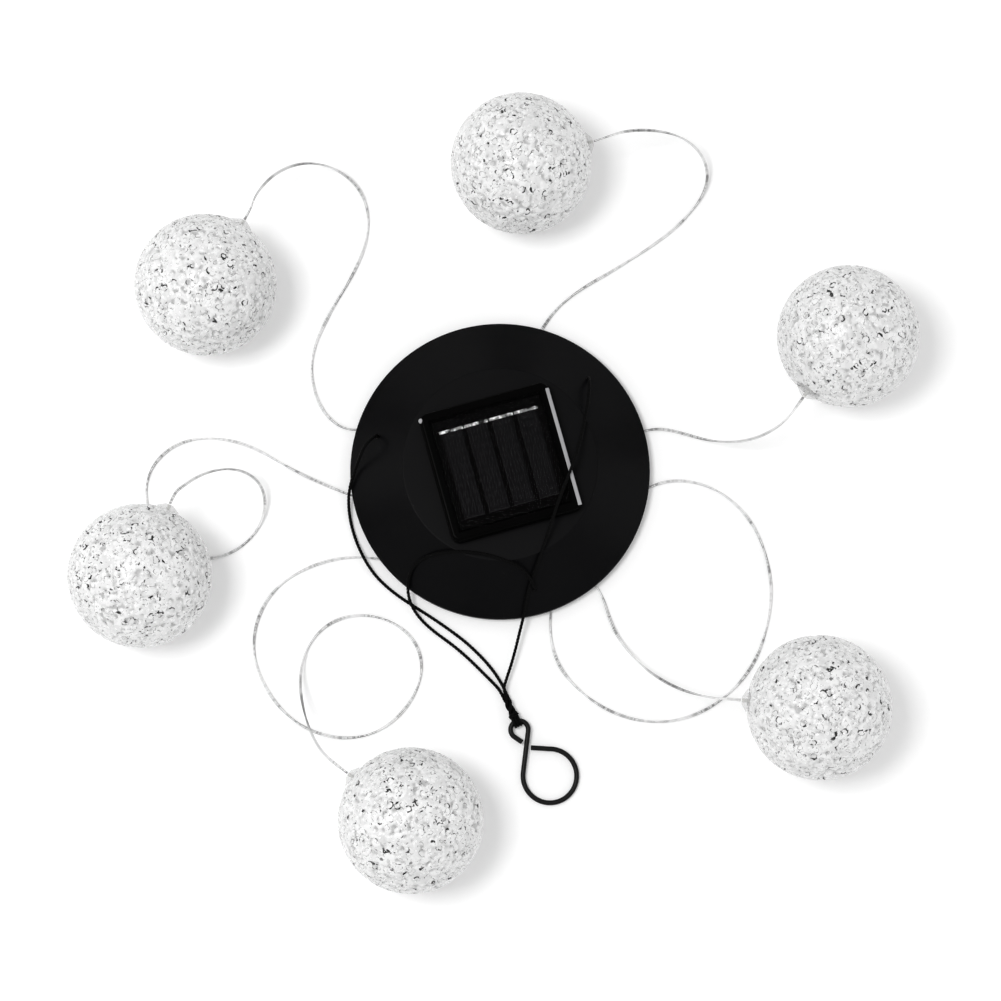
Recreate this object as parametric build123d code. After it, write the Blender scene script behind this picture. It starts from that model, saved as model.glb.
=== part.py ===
from build123d import *
import os
from math import acos, asin, atan2, cos, degrees, hypot, pi, radians, sin, sqrt, tan

# Solar mobile light, laid out flat on a table: a black conical housing with a square
# solar panel, six granule balls on thin leads, and three suspension cords tied to a
# figure-eight wire hook.
# Origin: centre of the housing's flat base, on the table. +Z up, +X and +Y along the
# sides of the square panel. All sizes in millimetres and degrees.

# ---- Fits ----
SLIP = 0.30                  # side clearance of a loose part in its recess
RUNNING = 0.05               # radial clearance of a screw or pin in its hole
TOUCH = 0.10                 # clearance of a held part from its seat

# ---- Housing cap: rim lip, cone and flat plateau ----
RIM_R = 60.0
RIM_FOOT_Z = 2.5
RIM_TOP_Z = 5.0
PLATEAU_R = 38.5
PLATEAU_Z = 19.5
CAP_WALL = 1.6
RIM_ROUND = 0.6
PLATEAU_ROUND = 0.7
CORD_HOLE_R = 0.85
CORD_HOLE_INSET = 9.5        # from the rim to the circle of cord holes
CORD_HOLE_ANGLES = (150, 270, 30)

# ---- Bottom cover: ring under the cone, and the round boss that stands on the table ----
COVER_Z = 4.0
COVER_WALL = 1.3
BOSS_R = 40.0
BOSS_WALL = 1.5
LEAD_HOLE_INSET = 10.0       # from the rim to the circle of lead holes
LEAD_HOLE_ANGLES = (0, 60, 120, 180, 240, 300)
GROMMET_NECK_R = 1.5
GROMMET_FLANGE_R = 2.3
GROMMET_FLANGE = 0.6
LEAD_KNOT_R = 1.2

# ---- Cover screws ----
SCREW_R = 1.0
SCREW_HEAD_R = 1.9
SCREW_HEAD = 1.2
SCREW_OUTSET = 4.0           # from the boss to the circle of screws
SCREW_ANGLES = (45, 135, 225, 315)
SCREW_LENGTH = 7.5
SCREW_POST_R = 2.8
CROSS_SLOT = 0.5
CROSS_DEPTH = 0.6

# ---- Battery and its compartment ----
BATTERY_R = 7.1
BATTERY_BODY = 49.5
BATTERY_NUB_R = 2.7
BATTERY_NUB = 1.0
BATTERY_EDGE = 0.8
BATTERY_Y = -12.0
SPRING_SPACE = 4.1
CONTACT = 0.5
CONTACT_SIDE = 9.0
SPRING_R = 2.6
SPRING_WIRE_R = 0.35
SPRING_TURNS = 3
BAY_GAP = 0.7                # each side of the battery
BAY_WALL = 1.3
BAY_TOP_Z = 10.0
LID_RECESS = 0.4             # lid face above the table
LID_WALL = 1.5
LID_TAB = 9.0
LID_TAB_REACH = 8.6          # beyond the lid's long edge
LID_SCREW_BOSS = 1.2
LID_SCREW_LENGTH = 5.0

# ---- Slide switch ----
SWITCH_Y = 20.0
SWITCH_SIZE = (8.6, 4.4, 3.8)
SWITCH_TRAVEL = 2.0
KNOB_SIZE = (2.4, 2.2)
KNOB_FOOT_Z = 0.5
KNOB_STEM = 1.4

# ---- Circuit board ----
BOARD_Z = 8.0
BOARD_SIZE = (36.0, 22.0, 1.2)
BOARD_Y = 19.0
BOARD_POST_R = 2.0
BOARD_PIN_R = 0.8
BOARD_POSTS = (14.0, 26.0)
CHIPS = (                    # x, y from the board's centre, size
    (0.0, 3.0, (5.0, 4.0, 1.6)),
    (4.0, 6.5, (3.2, 1.6, 0.6)),
)
CANS = (                     # x, y from the board's centre, radius, height
    (-5.5, -3.0, 2.4, 3.6),
    (9.0, -2.0, 1.6, 4.4),
)
WIRE_PADS = ((16.0, -2.0), (6.5, 9.5), (16.0, -8.0))   # from the board's centre
WIRE_ARCH = 2.6              # height of a wire above the board before its pad
WIRE_R = 0.5
WIRE_BEND_R = 1.2
WIRE_SHORTCUT = 5.1          # inside the boss radius
PANEL_WIRE_X = 4.0
PANEL_WIRE_Y = 12.0

# ---- Solar panel ----
PANEL = 53.0
PANEL_TOP_Z = 26.0
PANEL_CORNER_R = 3.5
PANEL_EDGE_ROUND = 1.5
GLASS = 46.0
GLASS_WALL = 0.7
GLASS_SINK = 0.3             # glass face below the frame top
BACKING = 44.2
BACKING_WALL = 1.2
PANEL_HOLE = 36.0
SKIRT = 43.0
SKIRT_DEPTH = 2.5
CELL_FIELD = (38.6, 36.5)
CELL_COUNT = 4
CELL_GAP = 2.2
CELL_WALL = 0.25
BUSBAR = 1.1
BUSBAR_BREAK = 0.6           # between the ribbons of two strips
SOLDER_SPOTS = (-0.3, 0.05, 0.35)   # along a ribbon, as shares of its length
BUSBAR_WALL = 0.1
BUSBAR_INSET = 0.4

# ---- Balls and their neck fittings ----
BALL_R = 28.1
BALL_WALL = 2.6
LUMPS = 64                   # the largest of the fused granules on a ball
LUMP_R = 4.0
LUMP_RISE = 0.9              # above the fused shell between them
NECK_HOLE_R = 3.1
COLLAR_BASE_R = 4.6
COLLAR_TIP_R = 1.7
COLLAR_HEIGHT = 1.9
COLLAR_DEPTH = 3.0
COLLAR_BORE_R = 0.7
SWING_GAP = 0.5              # between the collar tip and the lead's end
LED_R = 2.5
LED_LENGTH = 5.6
LED_FLANGE_R = 2.9
LED_FLANGE = 1.0
SLEEVE_R = 1.6
SLEEVE = 2.0

# ---- Leads and cords ----
LEAD_R = 0.6
CORD_R = 0.7
LIMP_BEND = 3                # least bend radius of a limp cord, in diameters

# ---- Hook, and the knot that ties it ----
HOOK_WIRE_R = 1.0
HOOK_EYE = (-20.3, -101.9)
HOOK_EYE_R = 3.5
HOOK_LOOP = (-13.6, -122.6)
HOOK_LOOP_R = 10.6
HOOK_END_GAP = 1.8           # from a wire end's centre to the spine's centre line
HOOK_EYE_END = 4.8           # along the spine, from its eye end to the eye's wire end
HOOK_LOOP_END = 6.5          # along the spine, from its eye end to the loop's wire end
LASHING_R = 0.6
LASHING_GAP = 0.35
LASHING_OFFSET = 0.65
KNOT_TAIL = (-21.9, -89.5)
KNOT_R = 2.1
KNOT_NOSE_R = 1.2
KNOT_NOSE_GAP = 1.7          # from the knot's nose to the hook wire's centre

# Ball centres on the table and the direction of each neck, one for each lead
BALLS = (
    (145.8, 11.2, -142),
    (40.2, 113.6, 2),
    (-93.5, 99.2, 45),
    (-147.4, -6.4, 53),
    (-70.6, -126.2, 128),
    (93.1, -126.5, 159),
)

# Routes of the leads, from under the housing to the balls. The first and last points
# are worked out from the lead hole and the neck. Points with no height lie on the table.
LEAD_ROUTES = (
    [(54.2, 0.1), (59.7, 0.9), (67.0, 0.0), (74.5, -4.2, 1.4), (83.0, -10.4, 4.8),
     (92.0, -15.0, 11.0), (101.0, -17.0, 18.0), (109.5, -15.8, 24.0), (115.0, -13.0, 27.4)],
    [(27.4, 46.8), (31.0, 51.2), (38.0, 57.2), (46.0, 61.6), (55.0, 64.8), (64.0, 67.0),
     (74.0, 69.9), (84.5, 73.4), (94.6, 77.4), (103.0, 82.1), (110.0, 87.8, 1.4),
     (114.0, 93.8, 3.4), (114.4, 100.0, 6.6), (111.8, 106.0, 10.6), (106.3, 110.7, 15.0),
     (99.2, 113.6, 19.2), (91.5, 115.2, 23.2), (84.0, 115.7, 26.4), (79.0, 115.3, 27.8)],
    [(-28.9, 41.6), (-34.0, 38.4), (-42.0, 33.2), (-50.5, 31.4), (-57.0, 34.6),
     (-61.3, 40.7), (-63.3, 48.5), (-63.0, 57.0), (-61.2, 64.0), (-58.0, 70.6),
     (-53.0, 76.9), (-47.0, 83.4), (-40.2, 89.9), (-33.5, 97.2), (-28.0, 104.3),
     (-24.3, 112.0), (-23.0, 119.6), (-23.8, 127.2, 1.4), (-27.6, 134.0, 4.0),
     (-33.6, 138.8, 8.0), (-41.0, 141.0, 12.6), (-48.8, 140.3, 17.4), (-56.2, 137.2, 22.0),
     (-62.4, 132.4, 25.6), (-66.0, 128.4, 27.4)],
    [(-53.5, 2.3), (-58.2, 5.4), (-66.0, 11.2), (-75.0, 18.6), (-83.5, 26.6),
     (-90.5, 33.9), (-97.5, 39.5), (-105.0, 43.3), (-113.0, 45.6), (-120.6, 45.9),
     (-127.6, 44.0), (-133.6, 40.0), (-137.6, 34.6), (-139.6, 27.8), (-139.9, 19.8),
     (-138.0, 11.6), (-133.8, 4.4), (-127.8, -0.6), (-120.8, -3.0), (-113.5, -3.1),
     (-106.4, -1.1), (-100.0, 3.1, 1.0), (-95.4, 8.6, 2.6), (-93.2, 15.0, 5.4),
     (-94.2, 21.2, 9.4), (-98.8, 25.7, 13.6), (-105.0, 27.6, 17.6), (-111.8, 27.4, 21.6),
     (-118.0, 25.6, 25.2), (-122.6, 23.4, 27.4)],
    [(-28.3, -40.7), (-33.0, -36.9), (-42.0, -29.7), (-51.8, -23.0), (-61.0, -18.9),
     (-70.0, -16.7), (-79.0, -16.2), (-88.0, -17.4), (-96.2, -20.2), (-103.2, -24.7),
     (-109.0, -31.2), (-112.8, -39.0), (-114.2, -47.6), (-113.4, -56.5), (-111.0, -65.0),
     (-107.0, -72.4), (-102.0, -78.2), (-96.0, -82.9), (-89.0, -86.3), (-81.0, -87.9),
     (-73.0, -87.2), (-65.5, -84.2), (-59.0, -79.7), (-53.7, -73.8), (-50.7, -67.0),
     (-50.3, -59.8), (-52.6, -52.9), (-57.5, -46.9), (-63.8, -42.7), (-71.0, -40.3),
     (-78.6, -40.0), (-85.8, -42.2), (-91.9, -46.8, 1.0), (-96.4, -53.4, 2.6),
     (-99.2, -61.6, 6.2), (-100.1, -70.5, 11.4), (-99.8, -79.4, 17.0),
     (-98.4, -87.2, 22.4), (-96.0, -93.2, 26.4)],
    [(28.3, -40.8), (33.0, -37.0), (42.0, -29.4), (50.0, -23.9), (58.2, -21.3),
     (67.0, -21.9), (75.5, -25.5), (82.8, -31.2), (88.2, -38.5), (91.7, -47.0),
     (93.3, -56.0), (93.4, -65.0), (91.9, -74.0), (88.9, -82.5), (85.0, -90.2),
     (80.0, -97.5), (73.7, -103.8), (66.5, -108.8), (58.5, -112.5), (50.0, -114.6),
     (41.0, -114.9), (32.5, -113.4), (24.5, -110.1), (17.0, -105.0), (10.6, -98.4),
     (5.6, -91.2), (2.2, -83.6), (1.1, -76.2), (1.8, -69.0), (3.3, -62.4), (6.0, -56.2),
     (10.2, -51.4), (15.8, -49.2), (21.2, -50.4), (24.9, -54.8), (26.2, -61.2),
     (26.2, -68.4), (27.1, -76.0, 1.4), (29.6, -84.0, 4.0), (33.6, -92.0, 8.2),
     (38.6, -99.0, 13.2), (44.4, -105.0, 18.4), (50.4, -109.4, 23.4), (55.8, -112.4, 27.0)],
)

# Routes of the suspension cords, from above their holes to the knot. The first two
# points and the last two are worked out.
CORD_ROUTES = (
    [(-44.6, 24.8, 15.6), (-46.2, 24.0, 16.9), (-48.2, 22.9, 17.2), (-50.1, 21.5, 16.3),
     (-51.8, 19.8, 14.4), (-54.0, 17.4, 11.2), (-56.5, 14.2, 8.2), (-59.3, 10.0, 6.4),
     (-61.5, 5.2, 4.3), (-62.7, -0.1, 2.2), (-63.2, -5.6, 0.9), (-63.0, -11.0, 1.1),
     (-62.4, -16.2, 3.0), (-61.2, -21.8, 3.0), (-59.3, -27.0, 1.0), (-56.5, -32.0, 0.7),
     (-52.5, -37.6, 0.7), (-47.4, -43.4, 0.7), (-42.0, -49.4, 0.7), (-36.6, -55.8, 0.7),
     (-31.4, -62.6, 0.7), (-27.2, -69.6, 0.7), (-24.4, -75.4, 0.8), (-22.7, -80.4, 1.2)],
    [(-0.1, -49.6, 15.6), (-0.5, -47.6, 17.4), (-1.6, -44.6, 19.0), (-4.4, -40.8, 20.4),
     (-9.4, -36.8, 21.0), (-15.6, -33.0, 20.9), (-22.2, -30.2, 20.8), (-28.8, -28.3, 20.0),
     (-35.2, -27.2, 17.1), (-40.7, -27.6, 13.9), (-44.6, -29.8, 10.9), (-47.0, -33.2, 8.4),
     (-48.4, -37.2, 6.3), (-48.7, -41.4, 4.7), (-47.8, -45.8, 3.2), (-45.6, -50.6, 1.6),
     (-42.0, -55.8, 0.7), (-37.8, -61.0, 0.7), (-33.8, -66.6, 0.7), (-30.4, -72.2, 0.7),
     (-27.6, -77.2, 0.8), (-25.2, -81.4, 1.2)],
    [(43.5, 24.3, 15.7), (43.1, 22.1, 17.4), (41.8, 18.4, 18.8), (38.7, 11.2, 21.0),
     (34.8, 3.6, 23.6), (30.5, -4.0, 26.0), (26.2, -10.3, 27.5), (20.4, -18.0, 27.4),
     (14.0, -27.0, 27.2), (7.0, -37.4, 21.6), (-1.4, -48.6, 14.2), (-4.8, -54.8, 10.0),
     (-6.9, -59.6, 6.8), (-9.8, -64.6, 5.6), (-13.0, -70.4, 5.0), (-16.6, -76.4, 4.2),
     (-19.9, -81.2, 3.7)],
)
CORD_EXIT = 2.2              # straight run out of a cord hole
KNOT_RUN = 4.2               # straight run into the knot
KNOT_SEATS = ((0.85, -0.8), (-0.85, -0.8), (0.0, 0.85))   # side and height of each cord

# ---- Values worked out from the above ----
CORD_HOLE_PCR = RIM_R - CORD_HOLE_INSET
LEAD_HOLE_PCR = RIM_R - LEAD_HOLE_INSET
SCREW_PCR = BOSS_R + SCREW_OUTSET
CONE_SLOPE = atan2(PLATEAU_Z - RIM_TOP_Z, RIM_R - PLATEAU_R)
CAP_DROP = CAP_WALL / cos(CONE_SLOPE)
COVER_TOP_Z = COVER_Z + COVER_WALL
LEAD_MOUTH_Z = COVER_Z - GROMMET_FLANGE
BAY_HALF_WIDTH = BATTERY_R + BAY_GAP
BAY_LENGTH = BATTERY_BODY + BATTERY_NUB + SPRING_SPACE + 2 * CONTACT
BAY_END_X = BAY_LENGTH / 2
LID_TOP_Z = LID_RECESS + LID_WALL
BATTERY_Z = LID_TOP_Z + TOUCH + BATTERY_R
LID_SCREW_Y = BATTERY_Y - BAY_HALF_WIDTH - LID_TAB_REACH / 2
LID_SCREW_Z = LID_TOP_Z - SCREW_HEAD
BOARD_TOP_Z = BOARD_Z + BOARD_SIZE[2]
GLASS_TOP_Z = PANEL_TOP_Z - GLASS_SINK
GLASS_Z = GLASS_TOP_Z - GLASS_WALL
CELL_Z = GLASS_Z - CELL_WALL - 2 * BUSBAR_WALL
BACKING_Z = CELL_Z - BACKING_WALL
CELL_WIDTH = (CELL_FIELD[0] - (CELL_COUNT - 1) * CELL_GAP) / CELL_COUNT
NECK_TIP = BALL_R + COLLAR_HEIGHT
PIVOT_REACH = NECK_TIP + SWING_GAP
LASHING_RING_R = HOOK_WIRE_R + LASHING_GAP + LASHING_R
HOOK_AXIS_Z = LASHING_RING_R + LASHING_R + SLIP / 3


def polar(radius, angle, z=0.0):
    """Point at a radius and an angle in degrees about the housing's axis."""
    return Vector(radius * cos(radians(angle)), radius * sin(radians(angle)), z)


def cone_z(radius):
    """Height of the cone's outer face at a radius."""
    return RIM_TOP_Z + (RIM_R - radius) * tan(CONE_SLOPE)


def cord_hole(angle, rise=0.0):
    """Point on a cord hole's axis, above the cone's outer face by rise."""
    return polar(CORD_HOLE_PCR, angle, cone_z(CORD_HOLE_PCR) + rise)


def turned(*points):
    """Solid of revolution about Z from an outline of (radius, z) points."""
    return revolve(Plane.XZ * make_face(Polyline(*points, close=True)), Axis.Z)


def column(radius, z0, z1, x=0.0, y=0.0):
    """Round column from z0 to z1."""
    return Pos(x, y, (z0 + z1) / 2) * Cylinder(radius, z1 - z0)


def block(width, depth, z0, z1, x=0.0, y=0.0):
    """Rectangular block from z0 to z1, centred in plan."""
    return Pos(x, y, (z0 + z1) / 2) * Box(width, depth, z1 - z0)


def rod(start, end, radius):
    """Straight round rod between two points."""
    start, end = Vector(*start), Vector(*end)
    return extrude(Plane(start, z_dir=end - start) * Circle(radius), (end - start).length)


def tube(points, radius, bend=None):
    """Round tube along straight runs joined by tangent arcs, and its least bend radius."""
    points = [Vector(*p) for p in points]
    bends = []
    for before, here, after in zip(points, points[1:], points[2:]):
        turn = radians((here - before).get_angle(after - here))
        shorter = min((here - before).length, (after - here).length)
        bends.append(bend or 0.45 * shorter / tan(turn / 2))
    path = FilletPolyline(*points, radius=bends)
    solid = sweep(Plane(path @ 0, z_dir=path % 0) * Circle(radius), path=path)
    return solid, path.length, bends


def group(*solids):
    """Separate solids kept together in one node."""
    return Compound(children=[s for item in solids for s in item.solids()])


# ---- Housing ----

def housing_cap():
    """Black cap: rim lip, cone and plateau, with a square hole and screw posts."""
    inner_r = RIM_R - CAP_WALL
    inner_plateau_z = PLATEAU_Z - CAP_WALL
    inner_plateau_r = RIM_R - (inner_plateau_z + CAP_DROP - RIM_TOP_Z) / tan(CONE_SLOPE)
    outline = turned((0, RIM_FOOT_Z), (RIM_R, RIM_FOOT_Z), (RIM_R, RIM_TOP_Z),
                     (PLATEAU_R, PLATEAU_Z), (0, PLATEAU_Z))
    edges = outline.edges().filter_by(GeomType.CIRCLE)
    outline = fillet(edges.filter_by(lambda e: abs(e.center().Z - RIM_TOP_Z) < 0.01), RIM_ROUND)
    edges = outline.edges().filter_by(GeomType.CIRCLE)
    outline = fillet(edges.filter_by(lambda e: abs(e.center().Z - PLATEAU_Z) < 0.01),
                     PLATEAU_ROUND)
    hollow = turned((0, RIM_FOOT_Z), (inner_r, RIM_FOOT_Z),
                    (inner_r, cone_z(inner_r) - CAP_DROP),
                    (inner_plateau_r, inner_plateau_z), (0, inner_plateau_z))
    cap = outline - hollow
    for angle in SCREW_ANGLES:
        at = polar(SCREW_PCR, angle)
        cap += column(SCREW_POST_R, COVER_TOP_Z, PLATEAU_Z, at.X, at.Y) & outline
    for angle in SCREW_ANGLES:
        at = polar(SCREW_PCR, angle)
        cap -= column(SCREW_R + RUNNING, RIM_FOOT_Z, COVER_Z + SCREW_LENGTH + SLIP, at.X, at.Y)
    for angle in CORD_HOLE_ANGLES:
        at = cord_hole(angle)
        cap -= column(CORD_HOLE_R, at.Z - 2 * CAP_DROP, at.Z + CAP_DROP, at.X, at.Y)
    opening = SKIRT + 2 * SLIP
    return cap - block(opening, opening, inner_plateau_z - 1, PLATEAU_Z + 1)


def lid_plate(grow, z0, z1):
    """Outline of the battery lid with its screw tab, grown all round."""
    plate = block(BAY_LENGTH - 2 * SLIP + 2 * grow, 2 * (BAY_HALF_WIDTH - SLIP + grow),
                  z0, z1, 0, BATTERY_Y)
    tab_y = BATTERY_Y - BAY_HALF_WIDTH - (LID_TAB_REACH - SLIP) / 2
    return plate + block(LID_TAB + 2 * grow, LID_TAB_REACH + SLIP + 2 * grow, z0, z1, 0, tab_y)


def bottom_cover():
    """Ring and boss, with the battery bay, board posts, switch slot and lead holes."""
    cover_r = RIM_R - CAP_WALL - SLIP
    bevel_r = RIM_R - (COVER_TOP_Z + CAP_DROP - RIM_TOP_Z) / tan(CONE_SLOPE) - 1.5 * SLIP
    cover = turned((0, 0), (BOSS_R, 0), (BOSS_R, COVER_Z), (cover_r, COVER_Z),
                   (bevel_r, COVER_TOP_Z), (BOSS_R - BOSS_WALL, COVER_TOP_Z),
                   (BOSS_R - BOSS_WALL, BOSS_WALL), (0, BOSS_WALL))
    width = 2 * (BAY_HALF_WIDTH + BAY_WALL)
    cover += block(BAY_LENGTH + 2 * BAY_WALL, width, 0, BAY_TOP_Z, 0, BATTERY_Y)
    screw_block_z = LID_TOP_Z + LID_SCREW_BOSS + SLIP
    cover += block(2 * SCREW_POST_R + 1, LID_TAB_REACH, screw_block_z, BAY_TOP_Z, 0, LID_SCREW_Y)
    cover -= block(BAY_LENGTH, 2 * BAY_HALF_WIDTH, -1, BAY_TOP_Z + 1, 0, BATTERY_Y)
    cover -= lid_plate(SLIP, -1, screw_block_z)
    cover -= column(SCREW_R + RUNNING, 0, LID_SCREW_Z + SCREW_HEAD + LID_SCREW_LENGTH + SLIP,
                    0, LID_SCREW_Y)
    for x in (-BOARD_POSTS[0], BOARD_POSTS[0]):
        cover += column(BOARD_POST_R, BOSS_WALL, BOARD_Z, x, BOARD_POSTS[1])
        cover += column(BOARD_PIN_R, BOARD_Z, BOARD_TOP_Z + BOARD_PIN_R, x, BOARD_POSTS[1])
    cover -= block(KNOB_SIZE[0] + SWITCH_TRAVEL + 2 * SLIP, KNOB_SIZE[1] + 2 * SLIP,
                   -1, BOSS_WALL + 1, 0, SWITCH_Y)
    for angle in SCREW_ANGLES:
        at = polar(SCREW_PCR, angle)
        cover -= column(SCREW_R + RUNNING, COVER_Z - 1, COVER_TOP_Z + 1, at.X, at.Y)
    for angle in LEAD_HOLE_ANGLES:
        at = polar(LEAD_HOLE_PCR, angle)
        cover -= column(GROMMET_NECK_R, COVER_Z - 1, COVER_TOP_Z + 1, at.X, at.Y)
    return cover


def screw(length, x, y, head_z):
    """Cross-head screw, head down, its head's face at head_z."""
    body = column(SCREW_HEAD_R, head_z, head_z + SCREW_HEAD, x, y)
    body += column(SCREW_R, head_z + SCREW_HEAD, head_z + SCREW_HEAD + length, x, y)
    slot = 2 * SCREW_HEAD_R * 0.7
    body -= block(slot, CROSS_SLOT, head_z - 1, head_z + CROSS_DEPTH, x, y)
    return body - block(CROSS_SLOT, slot, head_z - 1, head_z + CROSS_DEPTH, x, y)


def cover_screws():
    """Four screws that hold the bottom cover to the cap's posts."""
    places = [polar(SCREW_PCR, angle) for angle in SCREW_ANGLES]
    return group(*[screw(SCREW_LENGTH, p.X, p.Y, COVER_Z - SCREW_HEAD) for p in places])


def battery_lid():
    """Flat lid with a screw tab, recessed above the table."""
    lid = lid_plate(0, LID_RECESS, LID_TOP_Z)
    lid += column(SCREW_HEAD_R + 1, LID_RECESS, LID_TOP_Z + LID_SCREW_BOSS, 0, LID_SCREW_Y)
    lid -= column(SCREW_HEAD_R + SLIP, 0, LID_SCREW_Z + SCREW_HEAD, 0, LID_SCREW_Y)
    return lid - column(SCREW_R + RUNNING, 0, LID_TOP_Z + LID_SCREW_BOSS + 1, 0, LID_SCREW_Y)


# ---- Battery and contacts ----

def battery():
    """Round cell with its raised end towards +X."""
    cell = Cylinder(BATTERY_R, BATTERY_BODY)
    cell = chamfer(cell.edges().filter_by(GeomType.CIRCLE), BATTERY_EDGE)
    cell += Pos(0, 0, (BATTERY_BODY + BATTERY_NUB) / 2) * Cylinder(BATTERY_NUB_R, BATTERY_NUB)
    centre_x = BAY_END_X - CONTACT - BATTERY_NUB - BATTERY_BODY / 2
    return Pos(centre_x, BATTERY_Y, BATTERY_Z) * Rot(0, 90, 0) * cell


def contact_plate(x):
    """Flat spring-steel contact plate, its middle plane at x."""
    return Pos(x, BATTERY_Y, BATTERY_Z) * Box(CONTACT, CONTACT_SIDE, CONTACT_SIDE)


def battery_spring():
    """Contact plate with the coil that presses on the cell's flat end."""
    height = SPRING_SPACE - 2 * SPRING_WIRE_R
    line = Helix(height / SPRING_TURNS, height, SPRING_R)
    coil = sweep(Plane(line @ 0, z_dir=line % 0) * Circle(SPRING_WIRE_R), path=line)
    base_x = -BAY_END_X + CONTACT + SPRING_WIRE_R
    coil = Pos(base_x, BATTERY_Y, BATTERY_Z) * Rot(0, 90, 0) * coil
    return group(contact_plate(-BAY_END_X + CONTACT / 2), coil)


# ---- Switch and circuit board ----

def switch_body():
    """Slide switch body with a slot for the stem of its knob."""
    width, depth, height = SWITCH_SIZE
    body = block(width, depth, BOSS_WALL, BOSS_WALL + height, 0, SWITCH_Y)
    slot = (KNOB_STEM + SWITCH_TRAVEL + 2 * TOUCH, KNOB_STEM + 2 * TOUCH)
    return body - block(*slot, 0, BOSS_WALL + height / 2, 0, SWITCH_Y)


def switch_knob():
    """Ridged knob and stem, at the -X end of its travel."""
    x = -SWITCH_TRAVEL / 2
    knob = block(*KNOB_SIZE, KNOB_FOOT_Z, BOSS_WALL - TOUCH, x, SWITCH_Y)
    for shift in (-0.6, 0, 0.6):
        knob -= block(0.25, KNOB_SIZE[1] + 1, KNOB_FOOT_Z - 1, KNOB_FOOT_Z + 0.25,
                      x + shift, SWITCH_Y)
    stem_top = BOSS_WALL + SWITCH_SIZE[2] / 2 - TOUCH
    return knob + block(KNOB_STEM, KNOB_STEM, BOSS_WALL - 2 * TOUCH, stem_top, x, SWITCH_Y)


def circuit_board():
    """Board on the two posts of the bottom cover."""
    board = block(BOARD_SIZE[0], BOARD_SIZE[1], BOARD_Z, BOARD_TOP_Z, 0, BOARD_Y)
    for x in (-BOARD_POSTS[0], BOARD_POSTS[0]):
        board -= column(BOARD_PIN_R + TOUCH, BOARD_Z - 1, BOARD_TOP_Z + 1, x, BOARD_POSTS[1])
    return board


def board_parts():
    """Driver chip, coil, capacitor and resistor on the board."""
    top = BOARD_TOP_Z
    pieces = []
    for x, y, size in CHIPS:
        width, depth, height = size
        pieces.append(block(width, depth, top, top + height, x, BOARD_Y + y))
    for x, y, radius, height in CANS:
        pieces.append(column(radius, top, top + height, x, BOARD_Y + y))
    return group(*pieces)


def wire(points):
    """Insulated wire that ends on the board's top face."""
    x, y = points[-1][:2]
    route = points + [(x, y, BOARD_TOP_Z)]
    return tube(route, WIRE_R, WIRE_BEND_R)[0]


def inner_wires():
    """Wires from the six lead knots and from the solar panel to the board."""
    z_run = COVER_TOP_Z + GROMMET_FLANGE + LEAD_KNOT_R
    z_end = BOARD_TOP_Z + WIRE_ARCH
    near, middle, low = [(x, BOARD_Y + y, z_end) for x, y in WIRE_PADS]
    inside = BOSS_R - WIRE_SHORTCUT
    ways = {
        0: [tuple(polar(inside, 24, z_end)), near],
        60: [tuple(polar(inside, 68, z_end)), middle],
        300: [tuple(polar(LEAD_HOLE_PCR, -47.5, z_run)), tuple(polar(LEAD_HOLE_PCR - 1.6, -35.5, z_run)),
              tuple(polar(BOSS_R - 3.1, -12.5, z_run + 1.2)), tuple(polar(inside - 6.2, 10, z_end)), low],
    }
    wires = []
    for angle, way in ways.items():
        start = polar(LEAD_HOLE_PCR, angle, z_run)
        heading = (Vector(*way[0]) - start).normalized()
        one = wire([tuple(start + heading * LEAD_KNOT_R)] + way)
        wires += [one, mirror(one, Plane.YZ)]
    for x in (-PANEL_WIRE_X, PANEL_WIRE_X):
        wires.append(column(WIRE_R, BOARD_TOP_Z, BACKING_Z, x, PANEL_WIRE_Y))
    return group(*wires)


# ---- Solar panel ----

def panel_frame():
    """Square frame with a stepped pocket, and a skirt that drops into the cap."""
    frame = block(PANEL, PANEL, PLATEAU_Z, PANEL_TOP_Z)
    frame = fillet(frame.edges().filter_by(Axis.Z), PANEL_CORNER_R)
    frame = fillet(frame.faces().sort_by(Axis.Z)[-1].edges(), PANEL_EDGE_ROUND)
    frame += block(SKIRT, SKIRT, PLATEAU_Z - SKIRT_DEPTH, PLATEAU_Z)
    frame -= block(GLASS + 2 * TOUCH, GLASS + 2 * TOUCH, GLASS_Z, PANEL_TOP_Z + 1)
    frame -= block(BACKING + 2 * TOUCH, BACKING + 2 * TOUCH, BACKING_Z, PANEL_TOP_Z)
    return frame - block(PANEL_HOLE, PANEL_HOLE, 0, PANEL_TOP_Z)


def cell_x(index):
    """Centre of a cell strip across the panel."""
    return (index - (CELL_COUNT - 1) / 2) * (CELL_WIDTH + CELL_GAP)


def solar_cells():
    """Dark cell strips side by side on the backing."""
    return group(*[block(CELL_WIDTH, CELL_FIELD[1], CELL_Z, CELL_Z + CELL_WALL, cell_x(i))
                   for i in range(CELL_COUNT)])


def cell_busbars():
    """Tinned ribbons along the +Y ends of the cells, with solder spots on each."""
    y = CELL_FIELD[1] / 2 - BUSBAR_INSET - BUSBAR / 2
    z = CELL_Z + CELL_WALL
    length = CELL_WIDTH + CELL_GAP - BUSBAR_BREAK
    bars = []
    for i in range(CELL_COUNT):
        bar = block(length, BUSBAR, z, z + BUSBAR_WALL, cell_x(i), y)
        for share in SOLDER_SPOTS:
            bar += column(BUSBAR * 0.4, z, z + 2 * BUSBAR_WALL, cell_x(i) + share * length, y)
        bars.append(bar)
    return group(*bars)


# ---- Lead exits ----

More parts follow.
